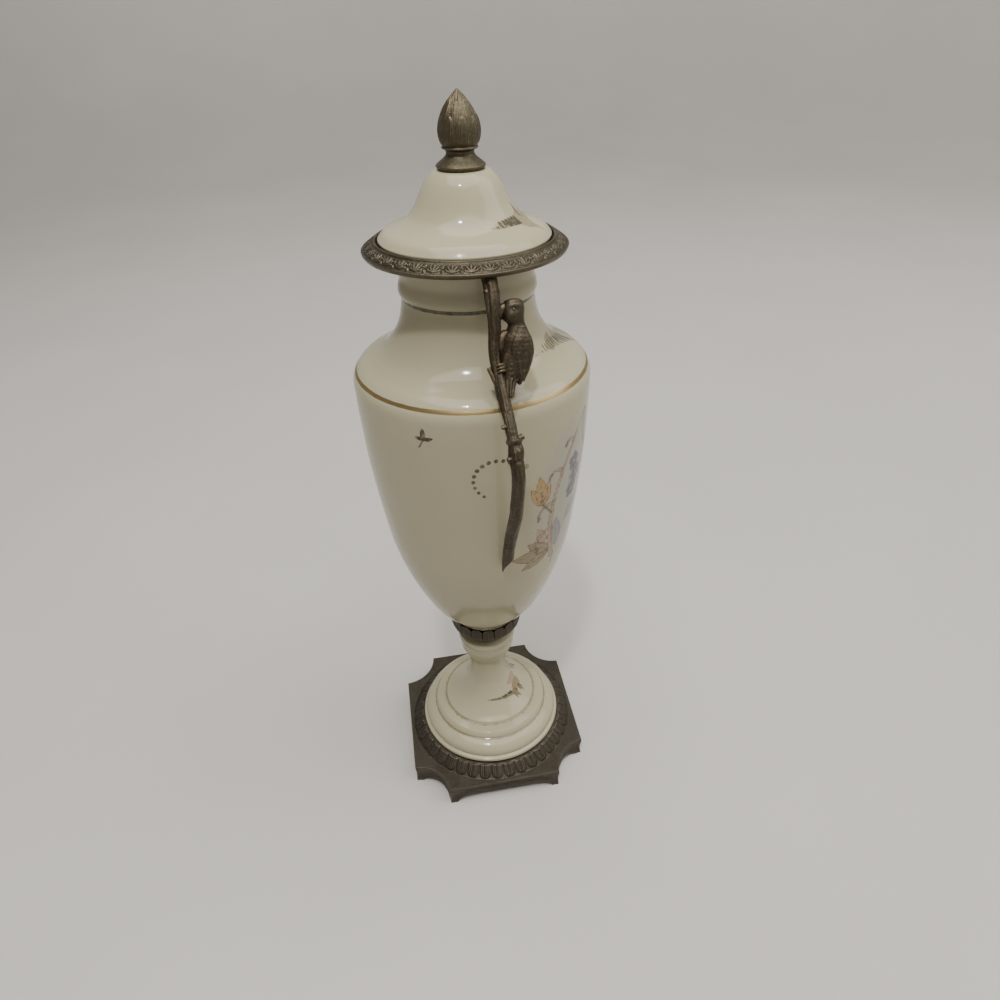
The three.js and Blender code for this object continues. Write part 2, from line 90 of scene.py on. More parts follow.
def fine_outline(points, step, corner=47, edge=0.35):
    """The outline made smooth, with a small round edge where it turns by more than corner degrees."""
    d = np.diff(points, axis=0)
    heading = np.degrees(np.arctan2(d[:, 1], d[:, 0]))
    turn = np.abs((np.diff(heading) + 180) % 360 - 180)
    cuts = [0, *(np.where(turn > corner)[0] + 1), len(points) - 1]
    line = []
    for a, b in zip(cuts, cuts[1:]):
        run = catmull(points[a:b + 1], step) if b - a > 1 else straight(points[a], points[b], step)
        if a > 0:
            run[0] = run[0] + (run[1] - run[0]) * min(1, edge / np.linalg.norm(run[1] - run[0])) * 0.9
            run = np.vstack([points[a] * 0.3 + run[0] * 0.7, run])
        if b < len(points) - 1:
            run[-1] = run[-1] + (run[-2] - run[-1]) * min(1, edge / np.linalg.norm(run[-2] - run[-1])) * 0.9
            run = np.vstack([run, points[b] * 0.3 + run[-1] * 0.7])
        line.append(run if not line else run)
    line = np.vstack(line)
    # stays inside the frame's own sizes
    return np.clip(line, np.min(points, axis=0), np.max(points, axis=0))


def straight(a, b, step):
    count = max(1, int(round(np.linalg.norm(b - a) / step)))
    return a + (b - a) * np.linspace(0, 1, count + 1)[:, None]


# Meshes


def grid_faces(rows, cols, first=0, closed_rows=False):
    """Quads over a grid that is closed round its columns."""
    i, j = np.meshgrid(np.arange(rows if closed_rows else rows - 1), np.arange(cols), indexing="ij")
    n = (j + 1) % cols
    u = (i + 1) % rows
    quads = np.stack([i * cols + j, i * cols + n, u * cols + n, u * cols + j], axis=-1)
    return (quads.reshape(-1, 4) + first).tolist()


def make_piece(name, grids, material, replaces, sharp=38, mirrored=False):
    """One object from grids of points in mm. Each grid is (points, closed rows, capped ends)."""
    places, faces, count = [], [], 0
    for points, closed_rows, capped in grids:
        rows, cols = points.shape[:2]
        places.append(points.reshape(-1, 3))
        faces += grid_faces(rows, cols, count, closed_rows)
        size = rows * cols
        if capped:
            places.append(np.array([points[0].mean(0), points[-1].mean(0)]))
            for j in range(cols):
                n = (j + 1) % cols
                faces.append([count + n, count + j, count + size])
                top = count + (rows - 1) * cols
                faces.append([top + j, top + n, count + size + 1])
            size += 2
        count += size
    co = np.vstack(places) * MM
    if mirrored:
        co = co * [-1, 1, 1]
        faces = [f[::-1] for f in faces]
    mesh = bpy.data.meshes.new(name)
    mesh.from_pydata(co.tolist(), [], faces)
    mesh.update()
    mesh.shade_smooth()
    mesh.set_sharp_from_angle(angle=math.radians(sharp))
    mesh.materials.append(material)
    obj = bpy.data.objects.new(name, mesh)
    bpy.context.scene.collection.objects.link(obj)
    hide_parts(*replaces)
    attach(obj, "root")
    return obj


def revolve(outline, angles):
    """A grid of points from an outline turned about Z. The outline's ends lie near the axis."""
    r = np.maximum(outline[:, 0], 0.02)[:, None]
    z = np.repeat(outline[:, 1][:, None], len(angles), axis=1)
    return np.stack([r * np.cos(angles), r * np.sin(angles), z], axis=-1)


def attribute(obj, name, values):
    obj.data.attributes.new(name, "FLOAT", "POINT").data.foreach_set("value", values.astype(np.float32))


def smoothstep(a, b, x):
    t = np.clip((x - a) / (b - a), 0, 1)
    return t * t * (3 - 2 * t)


# Materials


class Nodes:
    """A material's node tree, built from short calls."""

    def __init__(self, name):
        self.material = bpy.data.materials.new(name)
        self.material.use_nodes = True
        self.tree = self.material.node_tree
        self.tree.nodes.clear()

    def add(self, kind, inputs=None, **settings):
        node = self.tree.nodes.new(kind)
        for key, value in settings.items():
            setattr(node, key, value)
        for key, value in (inputs or {}).items():
            socket = node.inputs[key]
            if isinstance(value, bpy.types.NodeSocket):
                self.tree.links.new(value, socket)
            else:
                socket.default_value = value
        return node

    def math(self, operation, a, b=0.0):
        return self.add("ShaderNodeMath", {0: a, 1: b}, operation=operation).outputs[0]

    def spread(self, value, low, high, to_low=0.0, to_high=1.0):
        node = self.add("ShaderNodeMapRange", {0: value, 1: low, 2: high, 3: to_low, 4: to_high})
        node.interpolation_type = "SMOOTHSTEP"
        return node.outputs[0]

    def noise(self, scale, detail=4.0, roughness=0.55, distortion=0.0):
        where = self.add("ShaderNodeTexCoord").outputs["Object"]
        return self.add("ShaderNodeTexNoise", {"Vector": where, "Scale": scale, "Detail": detail,
                        "Roughness": roughness, "Distortion": distortion}).outputs["Fac"]

    def mix(self, share, a, b):
        node = self.add("ShaderNodeMix", data_type="RGBA")
        for key, value in ((0, share), (6, a), (7, b)):
            if isinstance(value, bpy.types.NodeSocket):
                self.tree.links.new(value, node.inputs[key])
            elif key == 0:
                node.inputs[key].default_value = value
            else:
                node.inputs[key].default_value = (*value, 1.0)
        return node.outputs[2]

    def blend(self, share, a, b):
        """A number between a and b."""
        node = self.add("ShaderNodeMix", data_type="FLOAT")
        for key, value in ((0, share), (2, a), (3, b)):
            if isinstance(value, bpy.types.NodeSocket):
                self.tree.links.new(value, node.inputs[key])
            else:
                node.inputs[key].default_value = value
        return node.outputs[0]

    def bump(self, height, strength, distance):
        return self.add("ShaderNodeBump", {"Height": height, "Strength": strength,
                        "Distance": distance}).outputs[0]

    def finish(self, inputs):
        shader = self.add("ShaderNodeBsdfPrincipled", inputs)
        self.add("ShaderNodeOutputMaterial", {"Surface": shader.outputs[0]})
        return self.material


CREAM = (0.36, 0.332, 0.228)
GOLD = (0.34, 0.24, 0.105)
PAINTS = [
    ("mist", (0.30, 0.29, 0.24), 0.9),
    ("grey", (0.15, 0.16, 0.165), 0.75),
    ("blue", (0.048, 0.05, 0.09), 0.9),
    ("rose", (0.27, 0.165, 0.105), 0.72),
    ("ochre", (0.31, 0.19, 0.07), 0.85),
    ("taupe", (0.18, 0.145, 0.075), 0.8),
    ("umber", (0.095, 0.066, 0.035), 0.88),
    ("ink", (0.03, 0.027, 0.017), 0.92),
]


def porcelain(name):
    """Cream glaze with the painting's colours, each where its distance is negative."""
    n = Nodes(name)
    cloud = n.noise(14, 3)
    color = n.mix(n.spread(cloud, 0.35, 0.7), CREAM, (0.34, 0.315, 0.213))
    specks = n.spread(n.noise(1500, 2), 0.72, 0.8)
    color = n.mix(n.math("MULTIPLY", specks, 0.25), color, (0.25, 0.2, 0.12))
    brush = n.noise(420, 5, 0.65)
    for paint, tint, cover in PAINTS:
        place = n.add("ShaderNodeAttribute", attribute_name=paint).outputs["Fac"]
        ragged = n.math("ADD", place, n.spread(brush, 0.3, 0.7, -0.08, 0.08))
        share = n.spread(ragged, 0.12, -0.12)
        wash = n.math("MULTIPLY", share, n.spread(brush, 0.3, 0.75, cover, cover * 0.7))
        color = n.mix(wash, color, tint)
    place = n.add("ShaderNodeAttribute", attribute_name="gold").outputs["Fac"]
    ragged = n.math("ADD", place, n.spread(brush, 0.3, 0.7, -0.05, 0.1))
    gold = n.spread(ragged, 0.1, -0.1, 0.0, 0.92)
    color = n.mix(gold, color, GOLD)
    rough = n.spread(n.noise(60, 3), 0.35, 0.7, 0.07, 0.12)
    rough = n.blend(gold, rough, 0.36)
    wave = n.math("ADD", n.noise(45, 2), n.math("MULTIPLY", n.noise(500, 3), 0.06))
    return n.finish({
        "Base Color": color, "Roughness": rough, "Metallic": gold, "IOR": 1.45,
        "Specular IOR Level": 0.3,
        "Normal": n.bump(wave, 0.25, 0.0008),
    })


def bronze(name, dark, warm, green, rub=1.0, grain=1.0):
    """Patinated bronze: dark in the hollows, rubbed on the raised edges, with dull green-brown clouds."""
    n = Nodes(name)
    edge = n.add("ShaderNodeNewGeometry").outputs["Pointiness"]
    raised = n.spread(edge, 0.50, 0.56)
    hollow = n.spread(edge, 0.497, 0.45)
    cloud = n.noise(55, 5, 0.6, 0.4)
    fine = n.noise(900, 4, 0.7)
    color = n.mix(n.spread(cloud, 0.35, 0.68), dark, green)
    color = n.mix(n.math("MULTIPLY", n.spread(fine, 0.45, 0.75), 0.35), color, warm)
    color = n.mix(n.math("MULTIPLY", raised, 0.75 * rub), color, warm)
    color = n.mix(n.math("MULTIPLY", hollow, 0.7), color, (0.012, 0.010, 0.007))
    rough = n.spread(n.noise(160, 4), 0.3, 0.75, 0.38, 0.58)
    rough = n.math("SUBTRACT", rough, n.math("MULTIPLY", raised, 0.08))
    height = n.math("ADD", n.noise(700, 5, 0.65), n.math("MULTIPLY", n.noise(2600, 3), 0.3))
    return n.finish({
        "Base Color": color, "Roughness": rough, "Metallic": 0.82,
        "Normal": n.bump(height, 0.35 * grain, 0.0006),
    })


glaze = porcelain("glaze")
ring_bronze = bronze("ring_bronze", (0.056, 0.047, 0.030), (0.145, 0.12, 0.077), (0.074, 0.066, 0.044),
                     0.35)
handle_bronze = bronze("handle_bronze", (0.043, 0.033, 0.022), (0.16, 0.115, 0.068), (0.056, 0.050, 0.034),
    0.65, 1.5)
plinth_bronze = bronze("plinth_bronze", (0.054, 0.047, 0.035), (0.15, 0.122, 0.084), (0.064, 0.058, 0.045),
    0.3)
finial_bronze = bronze("finial_bronze", (0.072, 0.060, 0.038), (0.21, 0.17, 0.10), (0.092, 0.082, 0.052),
    0.7)


# Painting. Places are [degrees round from the front towards +X, height in mm].
# Distances are in mm on the surface.


DEGREE = math.radians(1) * 53  # a degree on the vase, in mm
DOTS, DOT_STEP, DOT_START = 11, 18, 125  # the dotted arc: its count, and angles in degrees
ARC_PLACE, ARC_RADIUS = (94, 238), 10
STEM_FOOT, STEM_LENGTH, STEM_LEAN, STEM_BEND = (57, 178), 84, 22, -70
BUD_PLACE = (69, 216)
SPRIG_PLACE = (126, 258)


class Canvas:
    """Signed distances, negative inside, from a surface's points to the painted shapes of each colour."""

    def __init__(self, points):
        self.angle = np.degrees(np.arctan2(points[:, 0], -points[:, 1]))
        self.radius = np.hypot(points[:, 0], points[:, 1])
        self.z = points[:, 2]
        self.fields = {k: np.full(len(points), 9.0) for k, *_ in PAINTS}
        self.fields["gold"] = np.full(len(points), 9.0)

    def local(self, at):
        """Points seen from a place: steps to the right and up, in mm."""
        turn = (self.angle - at[0] + 180) % 360 - 180
        return np.radians(turn) * self.radius, self.z - at[1]

    def put(self, colour, distance):
        self.fields[colour] = np.minimum(self.fields[colour], distance)

    def stroke(self, colour, places, width, end_width=None, outline=None, line=0.5):
        """A brush line through the places, with a width that may change along it, and an optional outline."""
        end_width = width if end_width is None else end_width
        route = catmull(np.array(places, float) * [DEGREE, 1], 2.0) / [DEGREE, 1]
        distance = np.full(len(self.z), 9.0)
        for i in range(len(route) - 1):
            x, y = self.local(route[i])
            step = (route[i + 1] - route[i]) * [math.radians(1) * self.radius.max(), 1]
            t = np.clip((x * step[0] + y * step[1]) / max(step @ step, 1e-9), 0, 1)
            share = (i + t) / (len(route) - 1)
            wide = (width + (end_width - width) * share) / 2
            distance = np.minimum(distance, np.hypot(x - t * step[0], y - t * step[1]) - wide)
        self.put(colour, distance)
        if outline:
            self.put(outline, np.abs(distance) - line / 2)

    def leaf(self, colour, at, length, width, tilt, outline=None, line=0.5):
        """A pointed leaf, tilt degrees from upright to the right. An outline also gives it a rib."""
        x, y = self.local(at)
        a = math.radians(tilt)
        along = x * math.sin(a) + y * math.cos(a)
        aside = x * math.cos(a) - y * math.sin(a)
        t = np.clip(along / length, 0, 1)
        half = width / 2 * np.maximum(np.sin(np.pi * t ** 0.8), 0) ** 0.8
        distance = np.maximum(np.abs(aside) - half, np.maximum(-along, along - length))
        self.put(colour, distance)
        if outline:
            self.put(outline, np.abs(distance + line / 2) - line / 2)
            self.put(outline, np.maximum(np.abs(aside) - line / 3,
                np.maximum(-along, along - 0.8 * length)))

    def dot(self, colour, at, size):
        x, y = self.local(at)
        self.put(colour, np.hypot(x, y) - size / 2)

    def curl(self, colour, at, size, width, start, sweep):
        """A scroll's end: a spiral line about a place, from an angle through a sweep, in degrees."""
        turns = np.radians(np.linspace(start, start + sweep, 9))
        radii = size * np.linspace(1, 0.3, 9)
        self.stroke(colour, [[at[0] + r * math.cos(t) / DEGREE, at[1] + r * math.sin(t)]
                             for r, t in zip(radii, turns)], width, width * 0.8)
        self.dot(colour, at, size * 0.8)

    def line_round(self, colour, height, width):
        self.put(colour, np.abs(self.z - height) - width / 2)

    def give(self, obj):
        for name, field in self.fields.items():
            attribute(obj, name, field)


def arc(angle, z, length, lean, bend, count=9):
    """Places along a line that starts with a lean from upright, away from the front, and turns by a bend."""
    places, step = [[angle, z]], length / (count - 1)
    for i in range(count - 1):
        heading = math.radians(lean + bend * (i + 0.5) / (count - 1))
        angle, z = angle + step * math.sin(heading) / DEGREE, z + step * math.cos(heading)
        places.append([angle, z])
    return places


def on_side(s, places):
    return [[s * a, z] for a, z in places]


def fan(c, s, colour, at, count, size, tilt, spread, outline="umber"):
    """Pointed leaves from one place, spread about a tilt away from the front, the middle one longest."""
    for k in range(count):
        off = 2 * k / (count - 1) - 1 if count > 1 else 0
        long = size * (1 - 0.2 * abs(off))
        c.leaf(colour, [s * at[0], at[1]], long, 0.4 * long, s * (tilt + off * spread / 2), outline, 0.5)


def scroll(c, s, at, length, lean, bend):
    """A thin side shoot that ends in a curl."""
    line = arc(*at, length, lean, bend, 7)
    c.stroke("rose", on_side(s, line), 2.2, 0.9, "umber")
    c.curl("umber", on_side(s, line)[-1], 1.8, 0.7, 60, s * math.copysign(230, bend))


def paint_side(c, s):
    """A scrolling stem with a bud, leaves and flowers. s is -1 left of the front and 1 right of it."""
    line = arc(*STEM_FOOT, STEM_LENGTH, STEM_LEAN, STEM_BEND, 17)
    c.stroke("rose", on_side(s, line), 3.4, 0.9, "umber")
    for k, (lean, bend) in enumerate([(75, -110), (60, 130), (5, 150), (10, 150)]):
        scroll(c, s, line[4 + 3 * k], 17 - 3 * k, lean, bend if k else 140)
    fan(c, s, "ochre", BUD_PLACE, 3, 18, 10, 44)
    c.stroke("umber", on_side(s, [line[6], BUD_PLACE]), 1.2)
    fan(c, s, "taupe", (61, 184), 3, 22, 85, 60)
    fan(c, s, "rose", (65, 190), 1, 14, 25, 0)
    c.stroke("umber", on_side(s, arc(56, 180, 14, 190, -40)), 0.9, 0.5)
    # cool leaves on a stem of their own, and flowers, nearer to the middle
    cool = arc(55, 184, 56, -20, 0, 5)
    c.stroke("grey", on_side(s, cool), 0.9)
    for k, place in enumerate(cool):
        fan(c, s, "grey", place, 1, 20, -50 if k % 2 else 8, 0, None if k % 2 else "blue")
    for k in range(3):
        flower(c, [s * (46 - 3 * (k % 2)), 215 + 8 * k], 10, 40 * k)
    # dots on part of a circle
    for k in range(DOTS):
        turn = math.radians(DOT_START - DOT_STEP * k)
        away = ARC_PLACE[0] + ARC_RADIUS * math.cos(turn) / DEGREE
        c.dot("ink", [s * away, ARC_PLACE[1] + ARC_RADIUS * math.sin(turn)], 2.2 - 0.08 * abs(k - 4))
    c.dot("taupe", [s * 80, 242], 3)
    # a single small sprig at the side
    fan(c, s, "umber", SPRIG_PLACE, 3, 6, 0, 150, "ink")
    c.stroke("ink", on_side(s, arc(*SPRIG_PLACE, 7, 150, 0, 3)), 0.8, 0.5)


def pale_ground(c, s):
    """A soft cool patch of ground behind the stems."""
    x, y = c.local([s * 52, 214])
    c.put("mist", (np.hypot(x / 21, y / 38) - 1) * 0.6)


def flower(c, at, size, tilt):
    """A five-petalled flower with a gold heart."""
    for k in range(5):
        a = math.radians(tilt + 72 * k)
        x, y = c.local(at)
        reach = 0.30 * size
        px, py = x - reach * math.sin(a), y - reach * math.cos(a)
        c.put("blue", np.hypot(px, py) - 0.215 * size)
    c.dot("gold", at, 0.24 * size)


def paint_front(c):
    """The bouquet at the middle of the front, and a plain small one at the back."""
    c.stroke("umber", [[0, 166], [0.5, 185], [-0.5, 205], [0, 226]], 1.2, 0.7)
    for s in (-1, 1):
        c.stroke("umber", [[0, 176], [s * 9, 190], [s * 17, 206], [s * 16, 220], [s * 9, 226]], 1.1, 0.6)
        c.curl("umber", [s * 9.5, 223.5], 2.2, 0.8, 90, s * 240)
        c.stroke("rose", [[0, 180], [s * 13, 196], [s * 26, 212], [s * 34, 230]], 2.2, 0.9)
        c.leaf("grey", [s * 8, 192], 15, 6, s * 62, "blue", 0.4)
        c.leaf("grey", [s * 20, 206], 15, 6, s * 30, "blue", 0.4)
        c.leaf("ochre", [s * 4, 178], 16, 6, s * 80, "umber", 0.55)
        c.leaf("grey", [s * 12, 232], 14, 5.5, s * 40)
        c.leaf("ochre", [s * 2, 168], 12, 5, s * 115, "umber", 0.5)
        flower(c, [s * 26, 219], 9, s * 20)
        flower(c, [s * 11, 240], 8, s * 50)
        flower(c, [s * 33, 236], 7, s * 10)
    flower(c, [0, 231], 12, 0)
    flower(c, [0, 210], 9, 36)
    c.leaf("grey", [0, 238], 17, 6, 0, "blue", 0.4)
    c.stroke("umber", [[180, 196], [181, 206], [179.5, 218]], 0.9)
    for s in (-1, 1):
        c.leaf("ochre", [180, 203], 9, 4, s * 50, "umber", 0.5)
        c.leaf("grey", [180, 211], 8, 3.6, s * 42)
    flower(c, [180, 222], 7.5, 0)


def spray(c, start, end, drop, tail, size, rows, gap, fans):
    """A spray on both sides of the front: rows of short strokes along a drooping line, and fans of leaves.
    The start is an angle away from the front and a height. The fans' rows are
    [colour, at, count, size, tilt, spread]."""
    count = 15
    path = [[start[0] + (end - start[0]) * t, start[1] - drop * t * t] for t in np.linspace(0, 1, count)]
    for s in (-1, 1):
        c.stroke("umber", on_side(s, path), 0.25, tail)
        for colour, at, leaves, length, tilt, spread in fans:
            fan(c, s, colour, at, leaves, length, tilt, spread, None)
        for i, (a, z) in enumerate(path):
            grown = size * (0.3 + 0.7 * i / (count - 1))
            for row in range(rows if i > 3 else 1):
                c.leaf("ink", [s * a, z + gap * row], grown, 0.55 * grown, s * (28 + 14 * (i % 2)))


# Porcelain pieces

GOLD_LINE_Z, NECK_LINE_Z = 271.0, 303.6
MOUTH_RADIUS = 28.5  # nothing is painted inside it
STEM_RADIUS = 11.3  # the foot's outside is beyond it
KNOP_Z, KNOP_SWELL, KNOP_SPREAD = 82.5, 1.3, 4.9
STEP_SWELL = 0.5
GROOVES, GROOVE_DEPTH, GROOVE_SPREAD = (23.3, 31.75, 36.95), 0.7, 0.4


def front_angles(fine, coarse, bands):
    """Angles round Z from the front, in radians. The steps, fine inside the bands, are in degrees."""
    angles, at = [], -180.0
    while at < 180 - 1e-6:
        angles.append(at)
        near = any(lo - 1e-6 <= abs(at) < hi for lo, hi in bands)
        at += fine if near else coarse
    return np.radians(np.array(angles)) - math.pi / 2


vase_line = fine_outline(outline_of("vase"), 0.72)
top = int(np.argmax(vase_line[:, 1]))
rows = [i for i in range(top)
        if i % 3 == 0 or 174 < vase_line[i, 1] < 263 or 269.5 < vase_line[i, 1] < 284
        or 301.5 < vase_line[i, 1] < 306 or vase_line[i, 1] > 306 and i % 2 == 0]
inside = [i for i in range(top, len(vase_line)) if (i - top) % 6 == 0 or i == len(vase_line) - 1]
vase_line = vase_line[[*rows, *inside]]
vase_grid = revolve(vase_line, front_angles(0.8, 3.0, [(0, 107), (122, 131), (174, 181)]))
vase = make_piece("vase_glazed", [(vase_grid, False, True)], glaze, ["vase"])


def all_places(obj):
    co = np.zeros(len(obj.data.vertices) * 3, np.float32)
    obj.data.vertices.foreach_get("co", co)
    return co.reshape(-1, 3).astype(float) / MM


canvas = Canvas(all_places(vase))
for side in (-1, 1):
    pale_ground(canvas, side)
    paint_side(canvas, side)
paint_front(canvas)
spray(canvas, (58, 282), 6, 6, 0.3, 3.0, 3, 1.1,
      [("taupe", (40, 282), 2, 14, -80, 12), ("taupe", (22, 281), 2, 12, -72, 20),
       ("taupe", (8, 278), 3, 8, -60, 130)])
canvas.line_round("gold", GOLD_LINE_Z, 1.5)
# the neck's gilt line, painted as a dark ink band: its darkness is painted reflection in the gold and painted
# shade under the bead
canvas.line_round("ink", NECK_LINE_Z, 1.7)
inner = np.hypot(*all_places(vase)[:, :2].T) < MOUTH_RADIUS
for field in canvas.fields.values():
    field[inner] = 9
canvas.give(vase)


def coarser_inside(line):
    """Drops most rows of the inside, which comes before the widest point."""
    widest = int(np.argmax(line[:, 0]))
    return line[[i for i in range(len(line)) if i >= widest or i % 5 == 0]]


foot_line = fine_outline(outline_of("foot"), 0.6, 24, 0.25)
outside = foot_line[:, 0] > STEM_RADIUS
foot_line[outside, 0] += KNOP_SWELL * np.exp(-((foot_line[outside, 1] - KNOP_Z) / KNOP_SPREAD) ** 2)
for foot_z, top_z in ((23.6, 31.4), (32.1, 36.7)):
    way = np.clip((foot_line[:, 1] - foot_z) / (top_z - foot_z), 0, 1)
    swell = np.where(outside, np.sin(math.pi * way), 0)[:, None]
    foot_line += swell * STEP_SWELL
for groove in GROOVES:
    foot_line[outside, 0] -= GROOVE_DEPTH * np.exp(-((foot_line[outside, 1] - groove) / GROOVE_SPREAD) ** 2)
foot_grid = revolve(coarser_inside(foot_line), front_angles(1.0, 2.4, [(0, 114)]))
foot = make_piece("foot_glazed", [(foot_grid, False, True)], glaze, ["foot"])
canvas = Canvas(all_places(foot))
spray(canvas, (107, 46), 52, 1, 1.9, 2.2, 1, 0.9,
      [("rose", (4, 50), 2, 16, 98, 20), ("taupe", (11, 46), 2, 13, 91, 10),
       ("umber", (48, 46), 3, 6, -150, 60),
       ("umber", (28, 45), 3, 4.5, 180, 60)])
# painted shade: dark taupe lines painted along the foot's three grooves
canvas.line_round("taupe", 31.7, 0.8)
canvas.line_round("taupe", 36.95, 0.8)
canvas.line_round("taupe", 23.4, 0.5)
canvas.give(foot)

lid_line = coarser_inside(fine_outline(outline_of("lid"), 0.55))
lid_grid = revolve(lid_line, front_angles(0.9, 2.4, [(0, 84)]))
lid = make_piece("lid_glazed", [(lid_grid, False, True)], glaze, ["lid"])
canvas = Canvas(all_places(lid))
spray(canvas, (77, 334), 40, 0.5, 0.3, 2.6, 2, 0.9,
      [("taupe", (45, 334.5), 1, 14, -90, 0), ("taupe", (30, 334.5), 3, 5, 180, 50),
       ("taupe", (15, 334.5), 3, 5, -50, 80),
       ("umber", (27, 334.5), 1, 6, 8, 0)])
canvas.give(lid)


# Ring


def ring_relief(u, v, pitch, wide):
    """Height 0 to 1 of the band of palmettes and scrolls. u runs along it in mm, v across it from 0 to 1."""
    cell = (u / pitch + 0.5) % 1 - 0.5
    x = cell * pitch
    y = (v - 0.5) * wide
    h = np.zeros_like(x)
    # palmette: five lobes fanned from the foot
    for k in range(-2, 3):
        a = math.radians(34 * k)
        lx, ly = math.sin(a), math.cos(a)
        along = np.clip(x * lx + (y + 1.9) * ly, 0, 3.3 - 0.45 * abs(k))
        d = np.hypot(x - along * lx, y + 1.9 - along * ly)
        h = np.maximum(h, smoothstep(0.42, 0.05, d - 0.1 * along))
    # scrolls between the palmettes
    for s in (-1, 1):
        cx = s * (pitch / 2 - 1.05)
        d = np.abs(np.hypot(x - cx, y - 0.55) - 0.95)
        gate = (s * (x - cx) > -0.5) | (y > 0.3)
        h = np.maximum(h, np.where(gate, smoothstep(0.42, 0.08, d), 0))
        h = np.maximum(h, smoothstep(0.5, 0.1, np.hypot(x - cx, y - 0.55)))
    d = np.hypot(x - np.sign(x) * pitch / 2, (y + 1.5) * 0.7)
    h = np.maximum(h, smoothstep(0.75, 0.2, d))
    return h


RING_BOTTOM = float(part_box("ring")[0].z / MM)
RING_RADIUS = float(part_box("ring")[1].x / MM)
LID_RADIUS = float(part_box("lid")[1].x / MM)
ring_height = float((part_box("ring")[1].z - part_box("ring")[0].z) / MM)
seat = LID_RADIUS + 0.6
face_top = np.array([seat + 0.9, RING_BOTTOM + ring_height])
face_foot = np.array([RING_RADIUS, RING_BOTTOM + 1.9])
ledge = RING_BOTTOM + 3.8
face = straight(face_foot, face_top, 0.24)
share = np.linspace(0, 1, len(face))
face_wide = float(np.linalg.norm(face_top - face_foot))
ring_line = np.vstack([
    [[28, RING_BOTTOM + 0.3], [28.3, RING_BOTTOM]],
    straight(np.array([29, RING_BOTTOM]), np.array([RING_RADIUS - 1.3, RING_BOTTOM]), 3),
    [[RING_RADIUS - 0.8, RING_BOTTOM + 0.2], [RING_RADIUS - 0.15, RING_BOTTOM + 1.2]],
    face,
    [[seat + 0.5, RING_BOTTOM + ring_height - 0.1], [seat + 0.1, ledge + 1.2], [seat, ledge + 0.2],
     [seat - 0.2, ledge],
     [28.3, ledge], [28, ledge - 0.3]],
])
face_rows = np.zeros(len(ring_line), bool)
first_face = len(ring_line) - 6 - len(face)
face_rows[first_face:first_face + len(face)] = True
ring_angles = np.linspace(0, 2 * math.pi, 1080, endpoint=False)
ring_grid = revolve(ring_line, ring_angles)
normal = (face_top - face_foot) / face_wide
normal = np.array([normal[1], -normal[0]])
u = ring_angles[None, :] * 41.5
pitch = 2 * math.pi * 41.5 / 36
v = share[:, None]
height = ring_relief(u + 0 * v, v + 0 * u, pitch, face_wide)
border = smoothstep(0.07, 0.11, v) * smoothstep(0.93, 0.89, v)
lines = np.maximum(smoothstep(0.05, 0.02, np.abs(v - 0.05)), smoothstep(0.05, 0.02, np.abs(v - 0.95)))
lift = border * (height * 0.42 - 0.34) + lines * 0.03
ring_grid[face_rows, :, 0] += lift * normal[0] * np.cos(ring_angles)
ring_grid[face_rows, :, 1] += lift * normal[0] * np.sin(ring_angles)
ring_grid[face_rows, :, 2] += lift * normal[1]
ring = make_piece("ring_band", [(ring_grid, True, False)], ring_bronze, ["ring"], 60)

# Collar

COLLAR_BOTTOM = float(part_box("collar")[0].z / MM)
collar_height = float((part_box("collar")[1].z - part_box("collar")[0].z) / MM)
collar_radius = float(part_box("collar")[1].x / MM)
collar_line = catmull(np.array([[12.1, 0], [16.4, 0.28 * collar_height], [19.6, 0.46 * collar_height],
                                [collar_radius - 0.25, 0.6 * collar_height], [20.3, 0.8 * collar_height],
                                [19.7, collar_height - 0.1]]), 0.4)
leaf_angles = np.linspace(0, 2 * math.pi, 18 * 30, endpoint=False)
phase = (leaf_angles * 18 / (2 * math.pi)) % 1 - 0.5
side_of_leaf = np.abs(phase) * 2
tip_drop = 2.0 * side_of_leaf ** 4
t = np.linspace(0, 1, len(collar_line))[:, None]
z_rows = collar_line[:, 1][:, None] - tip_drop * t ** 3
r_rows = np.interp(z_rows, collar_line[:, 1], collar_line[:, 0])
rib = 0.16 * np.exp(-(phase * 22) ** 2) + 0.07 * np.cos(phase * 2 * math.pi * 5)
groove = -0.45 * smoothstep(0.78, 1.0, side_of_leaf)
r_rows = r_rows + (rib - 0.1 + groove) * smoothstep(0.06, 0.3, t) + 0.1 * t ** 6
outer = np.stack([r_rows * np.cos(leaf_angles), r_rows * np.sin(leaf_angles), z_rows + COLLAR_BOTTOM],
                 axis=-1)
r_inner = r_rows[::-3] - 0.75
z_inner = z_rows[::-3] - 0.05
inner_grid = np.stack([r_inner * np.cos(leaf_angles), r_inner * np.sin(leaf_angles),
    z_inner + COLLAR_BOTTOM], axis=-1)
inner_grid[-1, :, 2] = COLLAR_BOTTOM + 1.2
make_piece("collar_leaves", [(np.vstack([outer, inner_grid]), False, True)],
                    plinth_bronze, ["collar"], 50)

# Finial


def bud_relief(phi, t):
    """Height in mm of the bud's leaves, in three rows round it. phi is the angle round, t the way up."""
    h = np.zeros(np.broadcast(phi, t).shape)
    for row, (foot_at, tip_at, lift) in enumerate([(-0.12, 0.50, 0.55), (0.05, 0.78, 0.30),
        (0.25, 1.02, 0.05)]):
        cell = (phi * 9 / (2 * math.pi) + 0.5 * row) % 1 - 0.5
        s = np.clip((t - foot_at) / (tip_at - foot_at), 0, 1)
        half = 0.5 * np.sqrt(np.clip(1 - s ** 2.2, 0, 1))
        x = np.abs(cell) / np.maximum(half, 1e-3)
        leaf = lift + 0.32 * (1 - x ** 2) + 0.08 * np.cos(cell * 2 * math.pi * 7)
        leaf -= 0.12 * np.exp(-(cell * 26) ** 2)
        h = np.maximum(h, np.where((x < 1) & (t < tip_at), leaf, 0))
    return h


